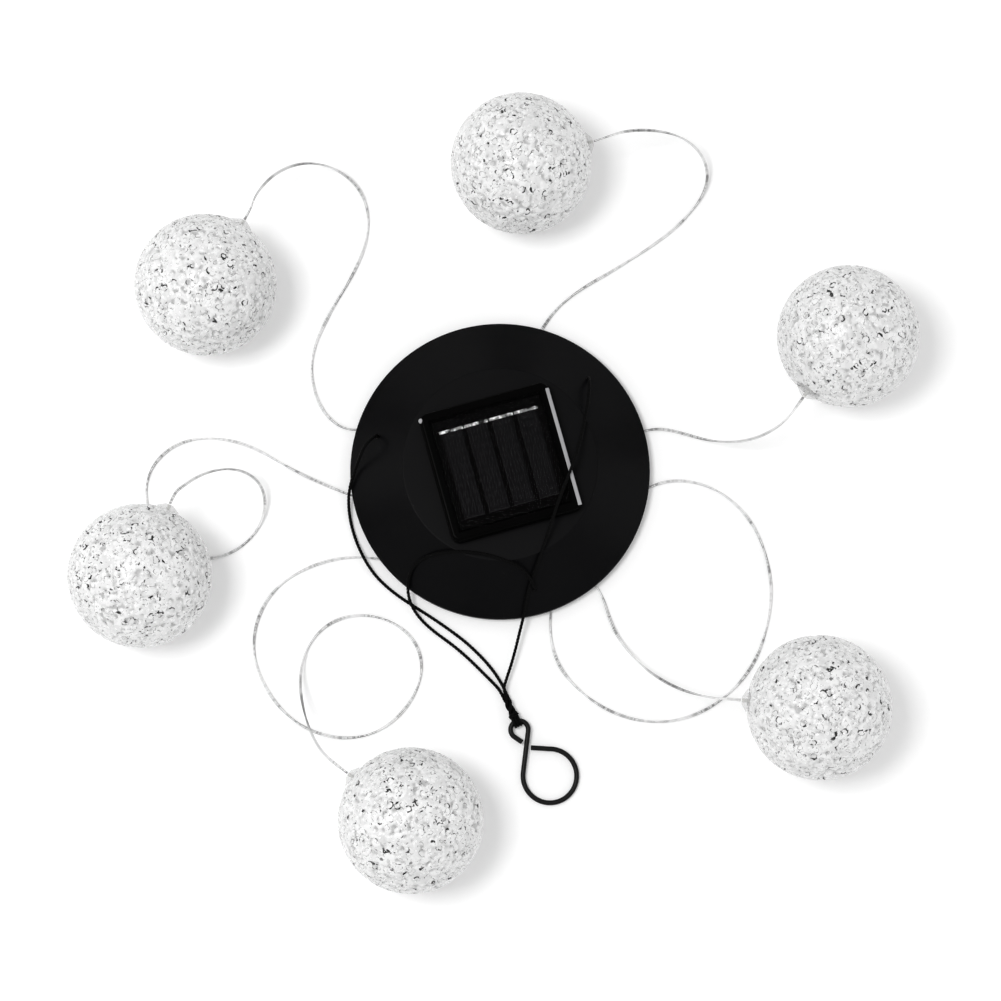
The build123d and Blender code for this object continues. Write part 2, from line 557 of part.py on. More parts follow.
def lead_grommets():
    """Rubber grommets in the bottom cover's lead holes."""
    one = turned((COLLAR_BORE_R, LEAD_MOUTH_Z), (GROMMET_FLANGE_R, LEAD_MOUTH_Z),
                 (GROMMET_FLANGE_R, COVER_Z), (GROMMET_NECK_R, COVER_Z),
                 (GROMMET_NECK_R, COVER_TOP_Z), (GROMMET_FLANGE_R, COVER_TOP_Z),
                 (GROMMET_FLANGE_R, COVER_TOP_Z + GROMMET_FLANGE),
                 (COLLAR_BORE_R, COVER_TOP_Z + GROMMET_FLANGE))
    return group(*[Pos(*polar(LEAD_HOLE_PCR, a)) * one for a in LEAD_HOLE_ANGLES])


def lead_knots():
    """Overhand knots above the grommets, each with the lead's end through its bore."""
    knots = []
    for angle in LEAD_HOLE_ANGLES:
        at = polar(LEAD_HOLE_PCR, angle, COVER_TOP_Z + GROMMET_FLANGE + LEAD_KNOT_R)
        knot = Pos(*at) * Sphere(LEAD_KNOT_R) + column(LEAD_R, LEAD_MOUTH_Z, at.Z, at.X, at.Y)
        knots.append(knot)
    return group(*knots)


def cord_stoppers():
    """Knots inside the cap, each with the cord's end through its hole."""
    knot_r = 2 * CORD_R
    stoppers = []
    for angle in CORD_HOLE_ANGLES:
        depth = CAP_DROP + (knot_r + TOUCH) / cos(CONE_SLOPE)
        stopper = Sphere(knot_r) + column(CORD_R, 0, depth)
        stoppers.append(Pos(*cord_hole(angle, -depth)) * stopper)
    return group(*stoppers)


# ---- Leads and cords ----

def neck_point(ball, reach, z=BALL_R):
    """Point out along a ball's neck, reach from its centre."""
    x, y, angle = ball
    return (x + reach * cos(radians(angle)), y + reach * sin(radians(angle)), z)


def lead_route(index):
    """Full route of a lead: down out of its grommet, over the table, up to its ball."""
    middle = [p if len(p) == 3 else (*p, LEAD_R) for p in LEAD_ROUTES[index]]
    hole = polar(LEAD_HOLE_PCR, LEAD_HOLE_ANGLES[index])
    heading = (Vector(*middle[0][:2]) - hole).normalized()
    landing = hole + heading * (2 * LEAD_R)
    start = [(hole.X, hole.Y, LEAD_MOUTH_Z), (hole.X, hole.Y, LEAD_MOUTH_Z - 2.5 * LEAD_R),
             (landing.X, landing.Y, LEAD_R)]
    ball = BALLS[index]
    end = [neck_point(ball, PIVOT_REACH + 8 * LEAD_R), neck_point(ball, PIVOT_REACH)]
    return start + middle + end


def knot_direction():
    """Unit vector in plan from the knot's tail to the hook's eye."""
    return (Vector(*HOOK_EYE) - Vector(*KNOT_TAIL)).normalized()


def cord_route(index):
    """Full route of a suspension cord: out of its hole, over the housing, to the knot."""
    angle = CORD_HOLE_ANGLES[index]
    along = knot_direction()
    across = Vector(-along.Y, along.X)
    side, height = KNOT_SEATS[index]
    seat = Vector(*KNOT_TAIL, HOOK_AXIS_Z) + across * side + Vector(0, 0, height)
    return ([tuple(cord_hole(angle)), tuple(cord_hole(angle, CORD_EXIT))]
            + CORD_ROUTES[index] + [tuple(seat - along * KNOT_RUN), tuple(seat)])


def cord_knot():
    """Barrel knot that gathers the cords, with two lashing turns round the hook's eye."""
    along = knot_direction()
    axis = Vector(*HOOK_EYE, HOOK_AXIS_Z) - along * HOOK_EYE_R
    tail = Vector(*KNOT_TAIL, HOOK_AXIS_Z)
    length = (axis - tail).length - KNOT_NOSE_GAP
    shoulder = length * 0.75
    profile = make_face(Polyline((0, 0), (KNOT_R, 0), (KNOT_R, shoulder),
                                 (KNOT_NOSE_R, length), (0, length), close=True))
    knot = Plane(tail, x_dir=(0, 0, 1), z_dir=along) * revolve(Plane.XZ * profile, Axis.Z)
    across = Vector(-along.Y, along.X)
    for side in (-LASHING_OFFSET, LASHING_OFFSET):
        knot += Plane(axis + across * side, z_dir=across) * Torus(LASHING_RING_R, LASHING_R)
    return knot - rod(axis - across * KNOT_R, axis + across * KNOT_R, HOOK_WIRE_R + LASHING_GAP)


# ---- Hook ----

def tangent_point(point, centre, radius, side):
    """Angle on a circle where a line from a point outside touches it."""
    dx, dy = point.X - centre.X, point.Y - centre.Y
    return degrees(atan2(dy, dx)) + side * degrees(acos(radius / hypot(dx, dy)))


def hook():
    """Figure-eight of round wire: small closed eye, spine and large loop."""
    eye, loop = Vector(*HOOK_EYE), Vector(*HOOK_LOOP)
    gap = loop - eye
    spine_way = degrees(atan2(gap.Y, gap.X) - asin((HOOK_EYE_R + HOOK_LOOP_R) / gap.length))
    spine = polar(1, spine_way)
    left = polar(1, spine_way - 90)
    spine_top = eye - left * HOOK_EYE_R
    spine_foot = loop + left * HOOK_LOOP_R
    eye_end = spine_top + spine * HOOK_EYE_END + left * HOOK_END_GAP
    loop_end = spine_top + spine * HOOK_LOOP_END - left * HOOK_END_GAP
    eye_from = tangent_point(eye_end, eye, HOOK_EYE_R, -1) % 360
    loop_to = tangent_point(loop_end, loop, HOOK_LOOP_R, -1)
    eye_sweep = (spine_way + 90) - eye_from
    loop_sweep = (loop_to - (spine_way - 90)) % 360
    path = Wire([
        Line(eye_end, eye + polar(HOOK_EYE_R, eye_from)),
        CenterArc(eye, HOOK_EYE_R, eye_from, eye_sweep),
        Line(spine_top, spine_foot),
        CenterArc(loop, HOOK_LOOP_R, spine_way - 90, loop_sweep),
        Line(loop + polar(HOOK_LOOP_R, loop_to), loop_end),
    ])
    body = sweep(Plane(path @ 0, z_dir=path % 0) * Circle(HOOK_WIRE_R), path=path)
    along = knot_direction()
    axis = eye - along * HOOK_EYE_R
    reach = (loop - axis).dot(along) + HOOK_LOOP_R
    tilt = degrees(asin((HOOK_AXIS_Z - HOOK_WIRE_R) / reach))
    hinge = Axis((axis.X, axis.Y, 0), (-along.Y, along.X, 0))
    return Pos(0, 0, HOOK_AXIS_Z) * body.rotate(hinge, tilt)


# ---- Balls ----

def at_ball(ball, shape):
    """Move a shape modelled with its neck along +X to its ball's place."""
    return Pos(ball[0], ball[1], BALL_R) * Rot(0, 0, ball[2]) * shape


def ball_shells():
    """Hollow lumpy ball in two halves: the one with the neck hole, and the other."""
    golden_angle = 180 * (3 - sqrt(5))
    solid = Sphere(BALL_R - LUMP_RISE)
    for k in range(LUMPS):
        height = 1 - 2 * k / (LUMPS - 1)
        way = polar(sqrt(1 - height ** 2), golden_angle * k, height)
        if way.X * BALL_R < LUMP_R:
            solid += Pos(*(way * (BALL_R - LUMP_R))) * Sphere(LUMP_R)
    side = 2 * BALL_R + 2
    far = (solid & (Pos(-side / 2, 0, 0) * Box(side, side, side))) - Sphere(BALL_R - BALL_WALL)
    near = mirror(far, Plane.YZ) + rod((BALL_R - BALL_WALL, 0, 0), (BALL_R - TOUCH, 0, 0), COLLAR_BASE_R)
    return near - rod((0, 0, 0), (BALL_R + 1, 0, 0), NECK_HOLE_R), far


def along_neck(shape):
    """Turn a shape modelled along +Z to lie along +X."""
    return Rot(0, 90, 0) * shape


def ball_collar():
    """Clear neck fitting: a plug in the neck hole and a cone with a bore for the lead."""
    plug_r = NECK_HOLE_R - RUNNING
    return along_neck(turned(
        (COLLAR_BORE_R, BALL_R - COLLAR_DEPTH), (plug_r, BALL_R - COLLAR_DEPTH),
        (plug_r, BALL_R), (COLLAR_BASE_R, BALL_R), (COLLAR_TIP_R, NECK_TIP),
        (COLLAR_BORE_R, NECK_TIP)))


def ball_led():
    """LED with its sleeve and the lead's end through the collar."""
    seat = BALL_R - COLLAR_DEPTH
    flange = seat - SLEEVE
    led = column(LED_FLANGE_R, flange - LED_FLANGE, flange)
    led += column(LED_R, flange - LED_FLANGE - LED_LENGTH, flange - LED_FLANGE)
    led += Pos(0, 0, flange - LED_FLANGE - LED_LENGTH) * Sphere(LED_R)
    return group(along_neck(led), along_neck(column(SLEEVE_R, flange, seat)),
                 along_neck(column(LEAD_R, seat, NECK_TIP)))


# ---- Build and write every node ----

def single_nodes():
    """The pieces that exist once or as one group."""
    return {
        "housing_cap": housing_cap(),
        "bottom_cover": bottom_cover(),
        "cover_screws": cover_screws(),
        "battery_lid": battery_lid(),
        "lid_screw": screw(LID_SCREW_LENGTH, 0, LID_SCREW_Y, LID_SCREW_Z),
        "battery": battery(),
        "battery_spring": battery_spring(),
        "battery_contact": contact_plate(BAY_END_X - CONTACT / 2),
        "switch_body": switch_body(),
        "switch_knob": switch_knob(),
        "circuit_board": circuit_board(),
        "board_parts": board_parts(),
        "inner_wires": inner_wires(),
        "panel_frame": panel_frame(),
        "panel_backing": block(BACKING, BACKING, BACKING_Z, CELL_Z),
        "solar_cells": solar_cells(),
        "cell_busbars": cell_busbars(),
        "panel_glass": block(GLASS, GLASS, GLASS_Z, GLASS_TOP_Z),
        "lead_grommets": lead_grommets(),
        "lead_knots": lead_knots(),
        "cord_stoppers": cord_stoppers(),
        "cord_knot": cord_knot(),
        "hook": hook(),
    }


def ball_nodes():
    """The four pieces of each ball."""
    near, far = ball_shells()
    pieces = {"shell_near": near, "shell_far": far, "collar": ball_collar(), "led": ball_led()}
    nodes = {}
    for number, ball in enumerate(BALLS, 1):
        for name, shape in pieces.items():
            nodes[f"ball_{number}_{name}"] = at_ball(ball, shape)
    return nodes


def route_nodes():
    """A tube for each lead and cord, with its length and least bend printed."""
    nodes = {}
    routes = [(f"lead_{i + 1}", lead_route(i), LEAD_R) for i in range(len(LEAD_ROUTES))]
    routes += [(f"cord_{i + 1}", cord_route(i), CORD_R) for i in range(len(CORD_ROUTES))]
    for name, points, radius in routes:
        nodes[name], length, bends = tube(points, radius)
        filled = nodes[name].volume / (pi * radius ** 2 * length)
        free = min(bends[2:])
        print(f"{name}: length {length:.1f}, volume ratio {filled:.4f}, least bend "
              f"{min(bends):.1f}, past the exit {free:.1f} of {2 * LIMP_BEND * radius:.1f}")
        print("   radii", " ".join(f"{b:.0f}" if b > 10 else f"{b:.1f}" for b in bends))
    return nodes


os.makedirs("parts", exist_ok=True)
for node, solid in {**single_nodes(), **ball_nodes(), **route_nodes()}.items():
    export_step(solid, f"parts/{node}.step")
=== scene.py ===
"""Solar mobile light, laid out flat: a black conical housing with a square solar panel,
six balls of fused granules on thin clear leads, and three cords tied to a wire hook."""
import math
import random

import bpy
from mathutils import Matrix, Vector


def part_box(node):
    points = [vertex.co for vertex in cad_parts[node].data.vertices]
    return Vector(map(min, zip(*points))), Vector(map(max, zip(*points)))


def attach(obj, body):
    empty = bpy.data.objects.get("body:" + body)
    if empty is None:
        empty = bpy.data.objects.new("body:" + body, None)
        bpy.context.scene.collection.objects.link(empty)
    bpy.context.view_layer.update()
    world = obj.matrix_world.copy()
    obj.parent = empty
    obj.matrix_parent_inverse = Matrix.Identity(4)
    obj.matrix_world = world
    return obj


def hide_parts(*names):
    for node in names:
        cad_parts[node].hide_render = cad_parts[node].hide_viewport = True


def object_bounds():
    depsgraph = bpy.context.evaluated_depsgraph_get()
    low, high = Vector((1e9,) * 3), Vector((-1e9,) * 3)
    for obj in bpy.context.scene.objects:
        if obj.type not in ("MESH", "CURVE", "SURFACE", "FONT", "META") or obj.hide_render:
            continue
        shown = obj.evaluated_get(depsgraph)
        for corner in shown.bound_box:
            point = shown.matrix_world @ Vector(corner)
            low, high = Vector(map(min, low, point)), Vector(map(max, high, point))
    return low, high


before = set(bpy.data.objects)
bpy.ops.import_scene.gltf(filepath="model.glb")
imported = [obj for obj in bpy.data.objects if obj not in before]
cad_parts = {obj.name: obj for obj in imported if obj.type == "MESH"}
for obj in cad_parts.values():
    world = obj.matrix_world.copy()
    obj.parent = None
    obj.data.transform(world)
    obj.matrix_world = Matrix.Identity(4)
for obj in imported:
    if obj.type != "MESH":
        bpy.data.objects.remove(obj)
cad_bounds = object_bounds()

# ---- Studio ----
# A white table under a large soft lamp at the upper left, with a low strip lamp on each
# side that draws a line of light along the housing's edges. The table brightens far from
# the object, as a lit studio floor does. The camera looks almost straight down.
MM = 0.001
VIEW_AZIMUTH = math.radians(-15.5)
VIEW_ELEVATION = math.radians(81)
VIEW_DISTANCE = 1150 * MM
VIEW_CENTRE = Vector((-2.9, -11.1, 0)) * MM
VIEW_LENS = 103.06
SENSOR_WIDTH = 36
AMBIENT_STRENGTH = 0.6
TABLE_SIDE = 8.0
TABLE_DROP = 0.1 * MM
TABLE_WHITE = "#fbfbfb"
TABLE_GLOW = 0.1
TABLE_FADE = (0.4, 1.1)         # metres from the middle over which the glow grows to full


def linear(hex_colour):
    """Turns an sRGB hex value to the linear colour that a shader takes."""
    channels = [int(hex_colour[i:i + 2], 16) / 255 for i in (1, 3, 5)]
    return (*(c / 12.92 if c <= 0.04045 else ((c + 0.055) / 1.055) ** 2.4 for c in channels), 1)


def add(tree, kind, inputs=None, **settings):
    """Adds a node. inputs gives a value or another node's output for each socket, which
    is named, or numbered where several sockets of the node share a name."""
    made = tree.nodes.new(kind)
    for name, value in settings.items():
        setattr(made, name, value)
    for socket, value in (inputs or {}).items():
        if isinstance(value, bpy.types.NodeSocket):
            tree.links.new(value, made.inputs[socket])
        else:
            made.inputs[socket].default_value = value
    return made


def empty_material(name):
    """A new material and its cleared node tree."""
    made = bpy.data.materials.new(name)
    made.use_nodes = True
    made.node_tree.nodes.clear()
    return made, made.node_tree


def seen_rays(tree):
    """One for the camera's rays and for those in gloss and glass, zero for the light's own."""
    ray = add(tree, "ShaderNodeLightPath")
    seen = ray.outputs["Is Camera Ray"]
    for kind in ("Is Glossy Ray", "Is Transmission Ray"):
        either = add(tree, "ShaderNodeMath", {0: seen, 1: ray.outputs[kind]}, operation="MAXIMUM")
        seen = either.outputs[0]
    return seen


def view_direction(azimuth, elevation):
    """Unit vector from the object towards a viewer or lamp."""
    level = math.cos(elevation)
    return Vector((level * math.sin(azimuth), -level * math.cos(azimuth), math.sin(elevation)))


camera_data = bpy.data.cameras.new("camera")
camera_data.lens = VIEW_LENS
camera_data.sensor_width = SENSOR_WIDTH
camera = bpy.data.objects.new("camera", camera_data)
bpy.context.scene.collection.objects.link(camera)
towards_camera = view_direction(VIEW_AZIMUTH, VIEW_ELEVATION)
camera.location = VIEW_CENTRE + towards_camera * VIEW_DISTANCE
camera.rotation_euler = (-towards_camera).to_track_quat("-Z", "Y").to_euler()
bpy.context.scene.camera = camera

# Each lamp: name, azimuth and elevation that it shines from in degrees, distance, width
# and height in metres, and power in watts
LAMPS = (
    ("window_lamp", -97, 72, 1.5, 0.42, 0.42, 9.5),
    ("right_strip", 62, 16, 0.9, 0.9, 0.16, 0.7),
    ("left_strip", -105, 18, 0.9, 0.7, 0.12, 0.6),
)
for name, azimuth, elevation, distance, width, height, power in LAMPS:
    lamp_data = bpy.data.lights.new(name, "AREA")
    lamp_data.shape = "RECTANGLE"
    lamp_data.size = width
    lamp_data.size_y = height
    lamp_data.energy = power
    lamp = bpy.data.objects.new(name, lamp_data)
    bpy.context.scene.collection.objects.link(lamp)
    towards_lamp = view_direction(math.radians(azimuth), math.radians(elevation))
    lamp.location = towards_lamp * distance
    lamp.rotation_euler = (-towards_lamp).to_track_quat("-Z", "Y").to_euler()

world = bpy.data.worlds.new("white_studio")
bpy.context.scene.world = world
world.use_nodes = True
sky = world.node_tree
sky.nodes.clear()
strength = add(sky, "ShaderNodeMix", {0: seen_rays(sky), 2: AMBIENT_STRENGTH, 3: 1.0})
white = add(sky, "ShaderNodeBackground", {"Color": linear("#ffffff"), "Strength": strength.outputs[0]})
add(sky, "ShaderNodeOutputWorld", {"Surface": white.outputs[0]})
bpy.context.scene.view_settings.view_transform = "Standard"

bpy.ops.object.select_all(action="DESELECT")
bpy.ops.mesh.primitive_plane_add(size=TABLE_SIDE, location=(0, 0, -TABLE_DROP))
table = bpy.context.object
table.name = "table"
paper, tree = empty_material("white_card")
card = add(tree, "ShaderNodeBsdfDiffuse", {"Color": linear(TABLE_WHITE)})
where = add(tree, "ShaderNodeTexCoord")
away = add(tree, "ShaderNodeVectorMath", {0: where.outputs["Object"]}, operation="LENGTH")
fade = add(tree, "ShaderNodeMapRange", {0: away.outputs["Value"], 1: TABLE_FADE[0],
                                        2: TABLE_FADE[1], 3: TABLE_GLOW, 4: 1.0})
glow_level = add(tree, "ShaderNodeMath", {0: seen_rays(tree), 1: fade.outputs[0]},
                 operation="MULTIPLY")
glow = add(tree, "ShaderNodeEmission", {"Strength": glow_level.outputs[0]})
lit_card = add(tree, "ShaderNodeAddShader", {0: card.outputs[0], 1: glow.outputs[0]})
add(tree, "ShaderNodeOutputMaterial", {"Surface": lit_card.outputs[0]})
table.data.materials.append(paper)

# ---- Leads ----
# Each lamp ball hangs on a thin twin lead: two tinned strands, each in a clear sleeve,
# loosely twisted together. They leave grommets under the housing and lie on the table
# in the loose loops that they were wound in.
LEAD_R = 0.6
LEAD_STRAND_R = 0.31
LEAD_PITCH = 64.0
LEAD_SIDES = 8
LEAD_STEPS = 10
LEAD_DROP = 2.5                 # straight down out of the grommet, in lead radii
LEAD_LANDING = 2                # from under the grommet to the table, in lead radii
LEAD_APPROACH = 8               # straight run into the ball's neck, in lead radii
BALL_R = 28.1
PIVOT_REACH = 30.5
LEAD_HOLE_PCR = 50.0
LEAD_HOLE_SPACING = 60          # degrees
LEAD_MOUTH_Z = 3.4
LEAD_LENGTHS = (88.0, 169.3, 212.4, 244.3, 338.5, 374.2)
# Each ball: its centre, and the way that its neck points in degrees
BALLS = (
    (145.8, 11.2, -142),
    (40.2, 113.6, 2),
    (-93.5, 99.2, 45),
    (-147.4, -6.4, 53),
    (-70.6, -126.2, 128),
    (93.1, -126.5, 159),
)
# A point without a height lies on the table
LEAD_ROUTES = (
    [(54.2, 0.1), (59.7, 0.9), (67.0, 0.0), (74.5, -4.2, 1.4), (83.0, -10.4, 4.8),
     (92.0, -15.0, 11.0), (101.0, -17.0, 18.0), (109.5, -15.8, 24.0), (115.0, -13.0, 27.4)],
    [(27.4, 46.8), (31.0, 51.2), (38.0, 57.2), (46.0, 61.6), (55.0, 64.8), (64.0, 67.0),
     (74.0, 69.9), (84.5, 73.4), (94.6, 77.4), (103.0, 82.1), (110.0, 87.8, 1.4),
     (114.0, 93.8, 3.4), (114.4, 100.0, 6.6), (111.8, 106.0, 10.6), (106.3, 110.7, 15.0),
     (99.2, 113.6, 19.2), (91.5, 115.2, 23.2), (84.0, 115.7, 26.4), (79.0, 115.3, 27.8)],
    [(-28.9, 41.6), (-34.0, 38.4), (-42.0, 33.2), (-50.5, 31.4), (-57.0, 34.6),
     (-61.3, 40.7), (-63.3, 48.5), (-63.0, 57.0), (-61.2, 64.0), (-58.0, 70.6),
     (-53.0, 76.9), (-47.0, 83.4), (-40.2, 89.9), (-33.5, 97.2), (-28.0, 104.3),
     (-24.3, 112.0), (-23.0, 119.6), (-23.8, 127.2, 1.4), (-27.6, 134.0, 4.0),
     (-33.6, 138.8, 8.0), (-41.0, 141.0, 12.6), (-48.8, 140.3, 17.4), (-56.2, 137.2, 22.0),
     (-62.4, 132.4, 25.6), (-66.0, 128.4, 27.4)],
    [(-53.5, 2.3), (-58.2, 5.4), (-66.0, 11.2), (-75.0, 18.6), (-83.5, 26.6),
     (-90.5, 33.9), (-97.5, 39.5), (-105.0, 43.3), (-113.0, 45.6), (-120.6, 45.9),
     (-127.6, 44.0), (-133.6, 40.0), (-137.6, 34.6), (-139.6, 27.8), (-139.9, 19.8),
     (-138.0, 11.6), (-133.8, 4.4), (-127.8, -0.6), (-120.8, -3.0), (-113.5, -3.1),
     (-106.4, -1.1), (-100.0, 3.1, 1.0), (-95.4, 8.6, 2.6), (-93.2, 15.0, 5.4),
     (-94.2, 21.2, 9.4), (-98.8, 25.7, 13.6), (-105.0, 27.6, 17.6), (-111.8, 27.4, 21.6),
     (-118.0, 25.6, 25.2), (-122.6, 23.4, 27.4)],
    [(-28.3, -40.7), (-33.0, -36.9), (-42.0, -29.7), (-51.8, -23.0), (-61.0, -18.9),
     (-70.0, -16.7), (-79.0, -16.2), (-88.0, -17.4), (-96.2, -20.2), (-103.2, -24.7),
     (-109.0, -31.2), (-112.8, -39.0), (-114.2, -47.6), (-113.4, -56.5), (-111.0, -65.0),
     (-107.0, -72.4), (-102.0, -78.2), (-96.0, -82.9), (-89.0, -86.3), (-81.0, -87.9),
     (-73.0, -87.2), (-65.5, -84.2), (-59.0, -79.7), (-53.7, -73.8), (-50.7, -67.0),
     (-50.3, -59.8), (-52.6, -52.9), (-57.5, -46.9), (-63.8, -42.7), (-71.0, -40.3),
     (-78.6, -40.0), (-85.8, -42.2), (-91.9, -46.8, 1.0), (-96.4, -53.4, 2.6),
     (-99.2, -61.6, 6.2), (-100.1, -70.5, 11.4), (-99.8, -79.4, 17.0),
     (-98.4, -87.2, 22.4), (-96.0, -93.2, 26.4)],
    [(28.3, -40.8), (33.0, -37.0), (42.0, -29.4), (50.0, -23.9), (58.2, -21.3),
     (67.0, -21.9), (75.5, -25.5), (82.8, -31.2), (88.2, -38.5), (91.7, -47.0),
     (93.3, -56.0), (93.4, -65.0), (91.9, -74.0), (88.9, -82.5), (85.0, -90.2),
     (80.0, -97.5), (73.7, -103.8), (66.5, -108.8), (58.5, -112.5), (50.0, -114.6),
     (41.0, -114.9), (32.5, -113.4), (24.5, -110.1), (17.0, -105.0), (10.6, -98.4),
     (5.6, -91.2), (2.2, -83.6), (1.1, -76.2), (1.8, -69.0), (3.3, -62.4), (6.0, -56.2),
     (10.2, -51.4), (15.8, -49.2), (21.2, -50.4), (24.9, -54.8), (26.2, -61.2),
     (26.2, -68.4), (27.1, -76.0, 1.4), (29.6, -84.0, 4.0), (33.6, -92.0, 8.2),
     (38.6, -99.0, 13.2), (44.4, -105.0, 18.4), (50.4, -109.4, 23.4), (55.8, -112.4, 27.0)],
)


def on_circle(radius, angle, z=0.0):
    """Point in millimetres at a radius and an angle in degrees about the housing's axis."""
    turn = math.radians(angle)
    return Vector((radius * math.cos(turn), radius * math.sin(turn), z))


def lead_route(index):
    """Control points of a lead, from its grommet's mouth to its ball's neck."""
    middle = [p if len(p) == 3 else (*p, LEAD_R) for p in LEAD_ROUTES[index]]
    hole = on_circle(LEAD_HOLE_PCR, LEAD_HOLE_SPACING * index)
    heading = (Vector((*middle[0][:2], 0)) - hole).normalized()
    landing = hole + heading * (LEAD_LANDING * LEAD_R)
    x, y, neck_angle = BALLS[index]
    centre = Vector((x, y, BALL_R))
    return ([(hole.x, hole.y, LEAD_MOUTH_Z), (hole.x, hole.y, LEAD_MOUTH_Z - LEAD_DROP * LEAD_R),
             (landing.x, landing.y, LEAD_R)] + middle
            + [centre + on_circle(PIVOT_REACH + LEAD_APPROACH * LEAD_R, neck_angle),
               centre + on_circle(PIVOT_REACH, neck_angle)])


def smooth_line(points, steps):
    """Points in metres along a NURBS spline that the route's points control."""
    curve = bpy.data.curves.new("route", "CURVE")
    curve.dimensions = "3D"
    curve.resolution_u = steps
    spline = curve.splines.new("NURBS")
    spline.points.add(len(points) - 1)
    for control, point in zip(spline.points, points):
        control.co = (*(c * MM for c in point), 1)
    spline.order_u = 3
    spline.use_endpoint_u = True
    carrier = bpy.data.objects.new("route", curve)
    bpy.context.scene.collection.objects.link(carrier)
    bpy.context.view_layer.update()
    bent = carrier.evaluated_get(bpy.context.evaluated_depsgraph_get())
    shape = bpy.data.meshes.new_from_object(bent)
    line = [v.co.copy() for v in shape.vertices]
    bpy.data.objects.remove(carrier)
    bpy.data.meshes.remove(shape)
    return line


def twisted(name, line, strand_count, strand_r, lay_r, pitch, sides):
    """Strands twisted together along a line. The UV map runs round and along each strand."""
    corners, faces, uvs = [], [], []
    tangents = [(line[min(i + 1, len(line) - 1)] - line[max(i - 1, 0)]).normalized()
                for i in range(len(line))]
    side = tangents[0].orthogonal().normalized()
    frames, travelled = [], 0.0
    for i, tangent in enumerate(tangents):
        side = (side - tangent * side.dot(tangent)).normalized()
        if i:
            travelled += (line[i] - line[i - 1]).length
        frames.append((line[i], side.copy(), tangent.cross(side), travelled))
    for strand in range(strand_count):
        first = len(corners)
        for point, side, other, run in frames:
            lay = 2 * math.pi * (strand / strand_count + run / (pitch * MM))
            centre = point + (side * math.cos(lay) + other * math.sin(lay)) * lay_r * MM
            for k in range(sides):
                turn = 2 * math.pi * k / sides
                outwards = side * math.cos(turn) + other * math.sin(turn)
                corners.append(centre + outwards * strand_r * MM)
        for i in range(len(frames) - 1):
            low, high = frames[i][3] / MM, frames[i + 1][3] / MM
            for k in range(sides):
                following = (k + 1) % sides
                a, b = first + i * sides, first + (i + 1) * sides
                faces.append((a + k, a + following, b + following, b + k))
                u, v = k / sides, (k + 1) / sides
                uvs.extend(((u, low), (v, low), (v, high), (u, high)))
        last = len(corners) - sides
        faces.append(tuple(first + k for k in reversed(range(sides))))
        faces.append(tuple(last + k for k in range(sides)))
        uvs.extend([(0.0, 0.0)] * (2 * sides))
    mesh = bpy.data.meshes.new(name)
    mesh.from_pydata(corners, [], faces)
    layer = mesh.uv_layers.new(name="lay")
    for loop, uv in zip(layer.data, uvs):
        loop.uv = uv
    mesh.shade_smooth()
    made = bpy.data.objects.new(name, mesh)
    bpy.context.scene.collection.objects.link(made)
    return made


# Extruded clear PVC over tinned copper: each sleeve is as pale as the table through its
# middle, and along the sides that turn from the view it is darkened, a painted shade, more
# so in some stretches than in others; the copper shows as short dashes.
LEAD_PALE = "#f6f6f6"
LEAD_SIDE_SHADE_AND_COPPER_GREY = "#343434"
STRETCH_CHANGES = 0.045         # along a lead, in each millimetre
DASH_CHANGES = 0.9              # along and round a sleeve, in each millimetre
clear_pvc, tree = empty_material("clear_pvc_over_tinned_copper")
where = add(tree, "ShaderNodeUVMap", uv_map="lay")
run = add(tree, "ShaderNodeSeparateXYZ", {0: where.outputs[0]})
stretch = add(tree, "ShaderNodeTexNoise", {"W": run.outputs["Y"], "Scale": STRETCH_CHANGES,
                                           "Detail": 2.0}, noise_dimensions="1D")
heavy = add(tree, "ShaderNodeMapRange", {0: stretch.outputs[0], 1: 0.42, 2: 0.58, 3: 0.3, 4: 1.0})
strands = add(tree, "ShaderNodeTexNoise", {"Vector": where.outputs[0], "Scale": DASH_CHANGES,
                                           "Detail": 2.0})
dashes = add(tree, "ShaderNodeMapRange", {0: strands.outputs[0], 1: 0.48, 2: 0.58, 4: 0.7})
# Painted shade: the colour darkens where the sleeve turns from the view.
cover = add(tree, "ShaderNodeLayerWeight", {"Blend": 0.5})
sides = add(tree, "ShaderNodeMapRange", {0: cover.outputs["Facing"], 1: 0.1, 2: 0.32})
dark = add(tree, "ShaderNodeMath", {0: sides.outputs[0], 1: dashes.outputs[0]}, operation="MAXIMUM")
tone = add(tree, "ShaderNodeMath", {0: dark.outputs[0], 1: heavy.outputs[0]}, operation="MULTIPLY")
mixed = add(tree, "ShaderNodeMix", {0: tone.outputs[0], 6: linear(LEAD_PALE), 7: linear(LEAD_SIDE_SHADE_AND_COPPER_GREY)},
            data_type="RGBA")
gloss = add(tree, "ShaderNodeBsdfPrincipled", {"Base Color": mixed.outputs[2], "Roughness": 0.2,
                                               "IOR": 1.53, "Specular IOR Level": 0.3})
add(tree, "ShaderNodeOutputMaterial", {"Surface": gloss.outputs[0]})

for index, length in enumerate(LEAD_LENGTHS):
    number = index + 1
    line = smooth_line(lead_route(index), LEAD_STEPS)
    lead = twisted(f"twin_lead_{number}", line, 2, LEAD_STRAND_R, LEAD_R - LEAD_STRAND_R,
                   LEAD_PITCH, LEAD_SIDES)
    lead.data.materials.append(clear_pvc)
    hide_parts(f"lead_{number}")
    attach(lead, "housing")

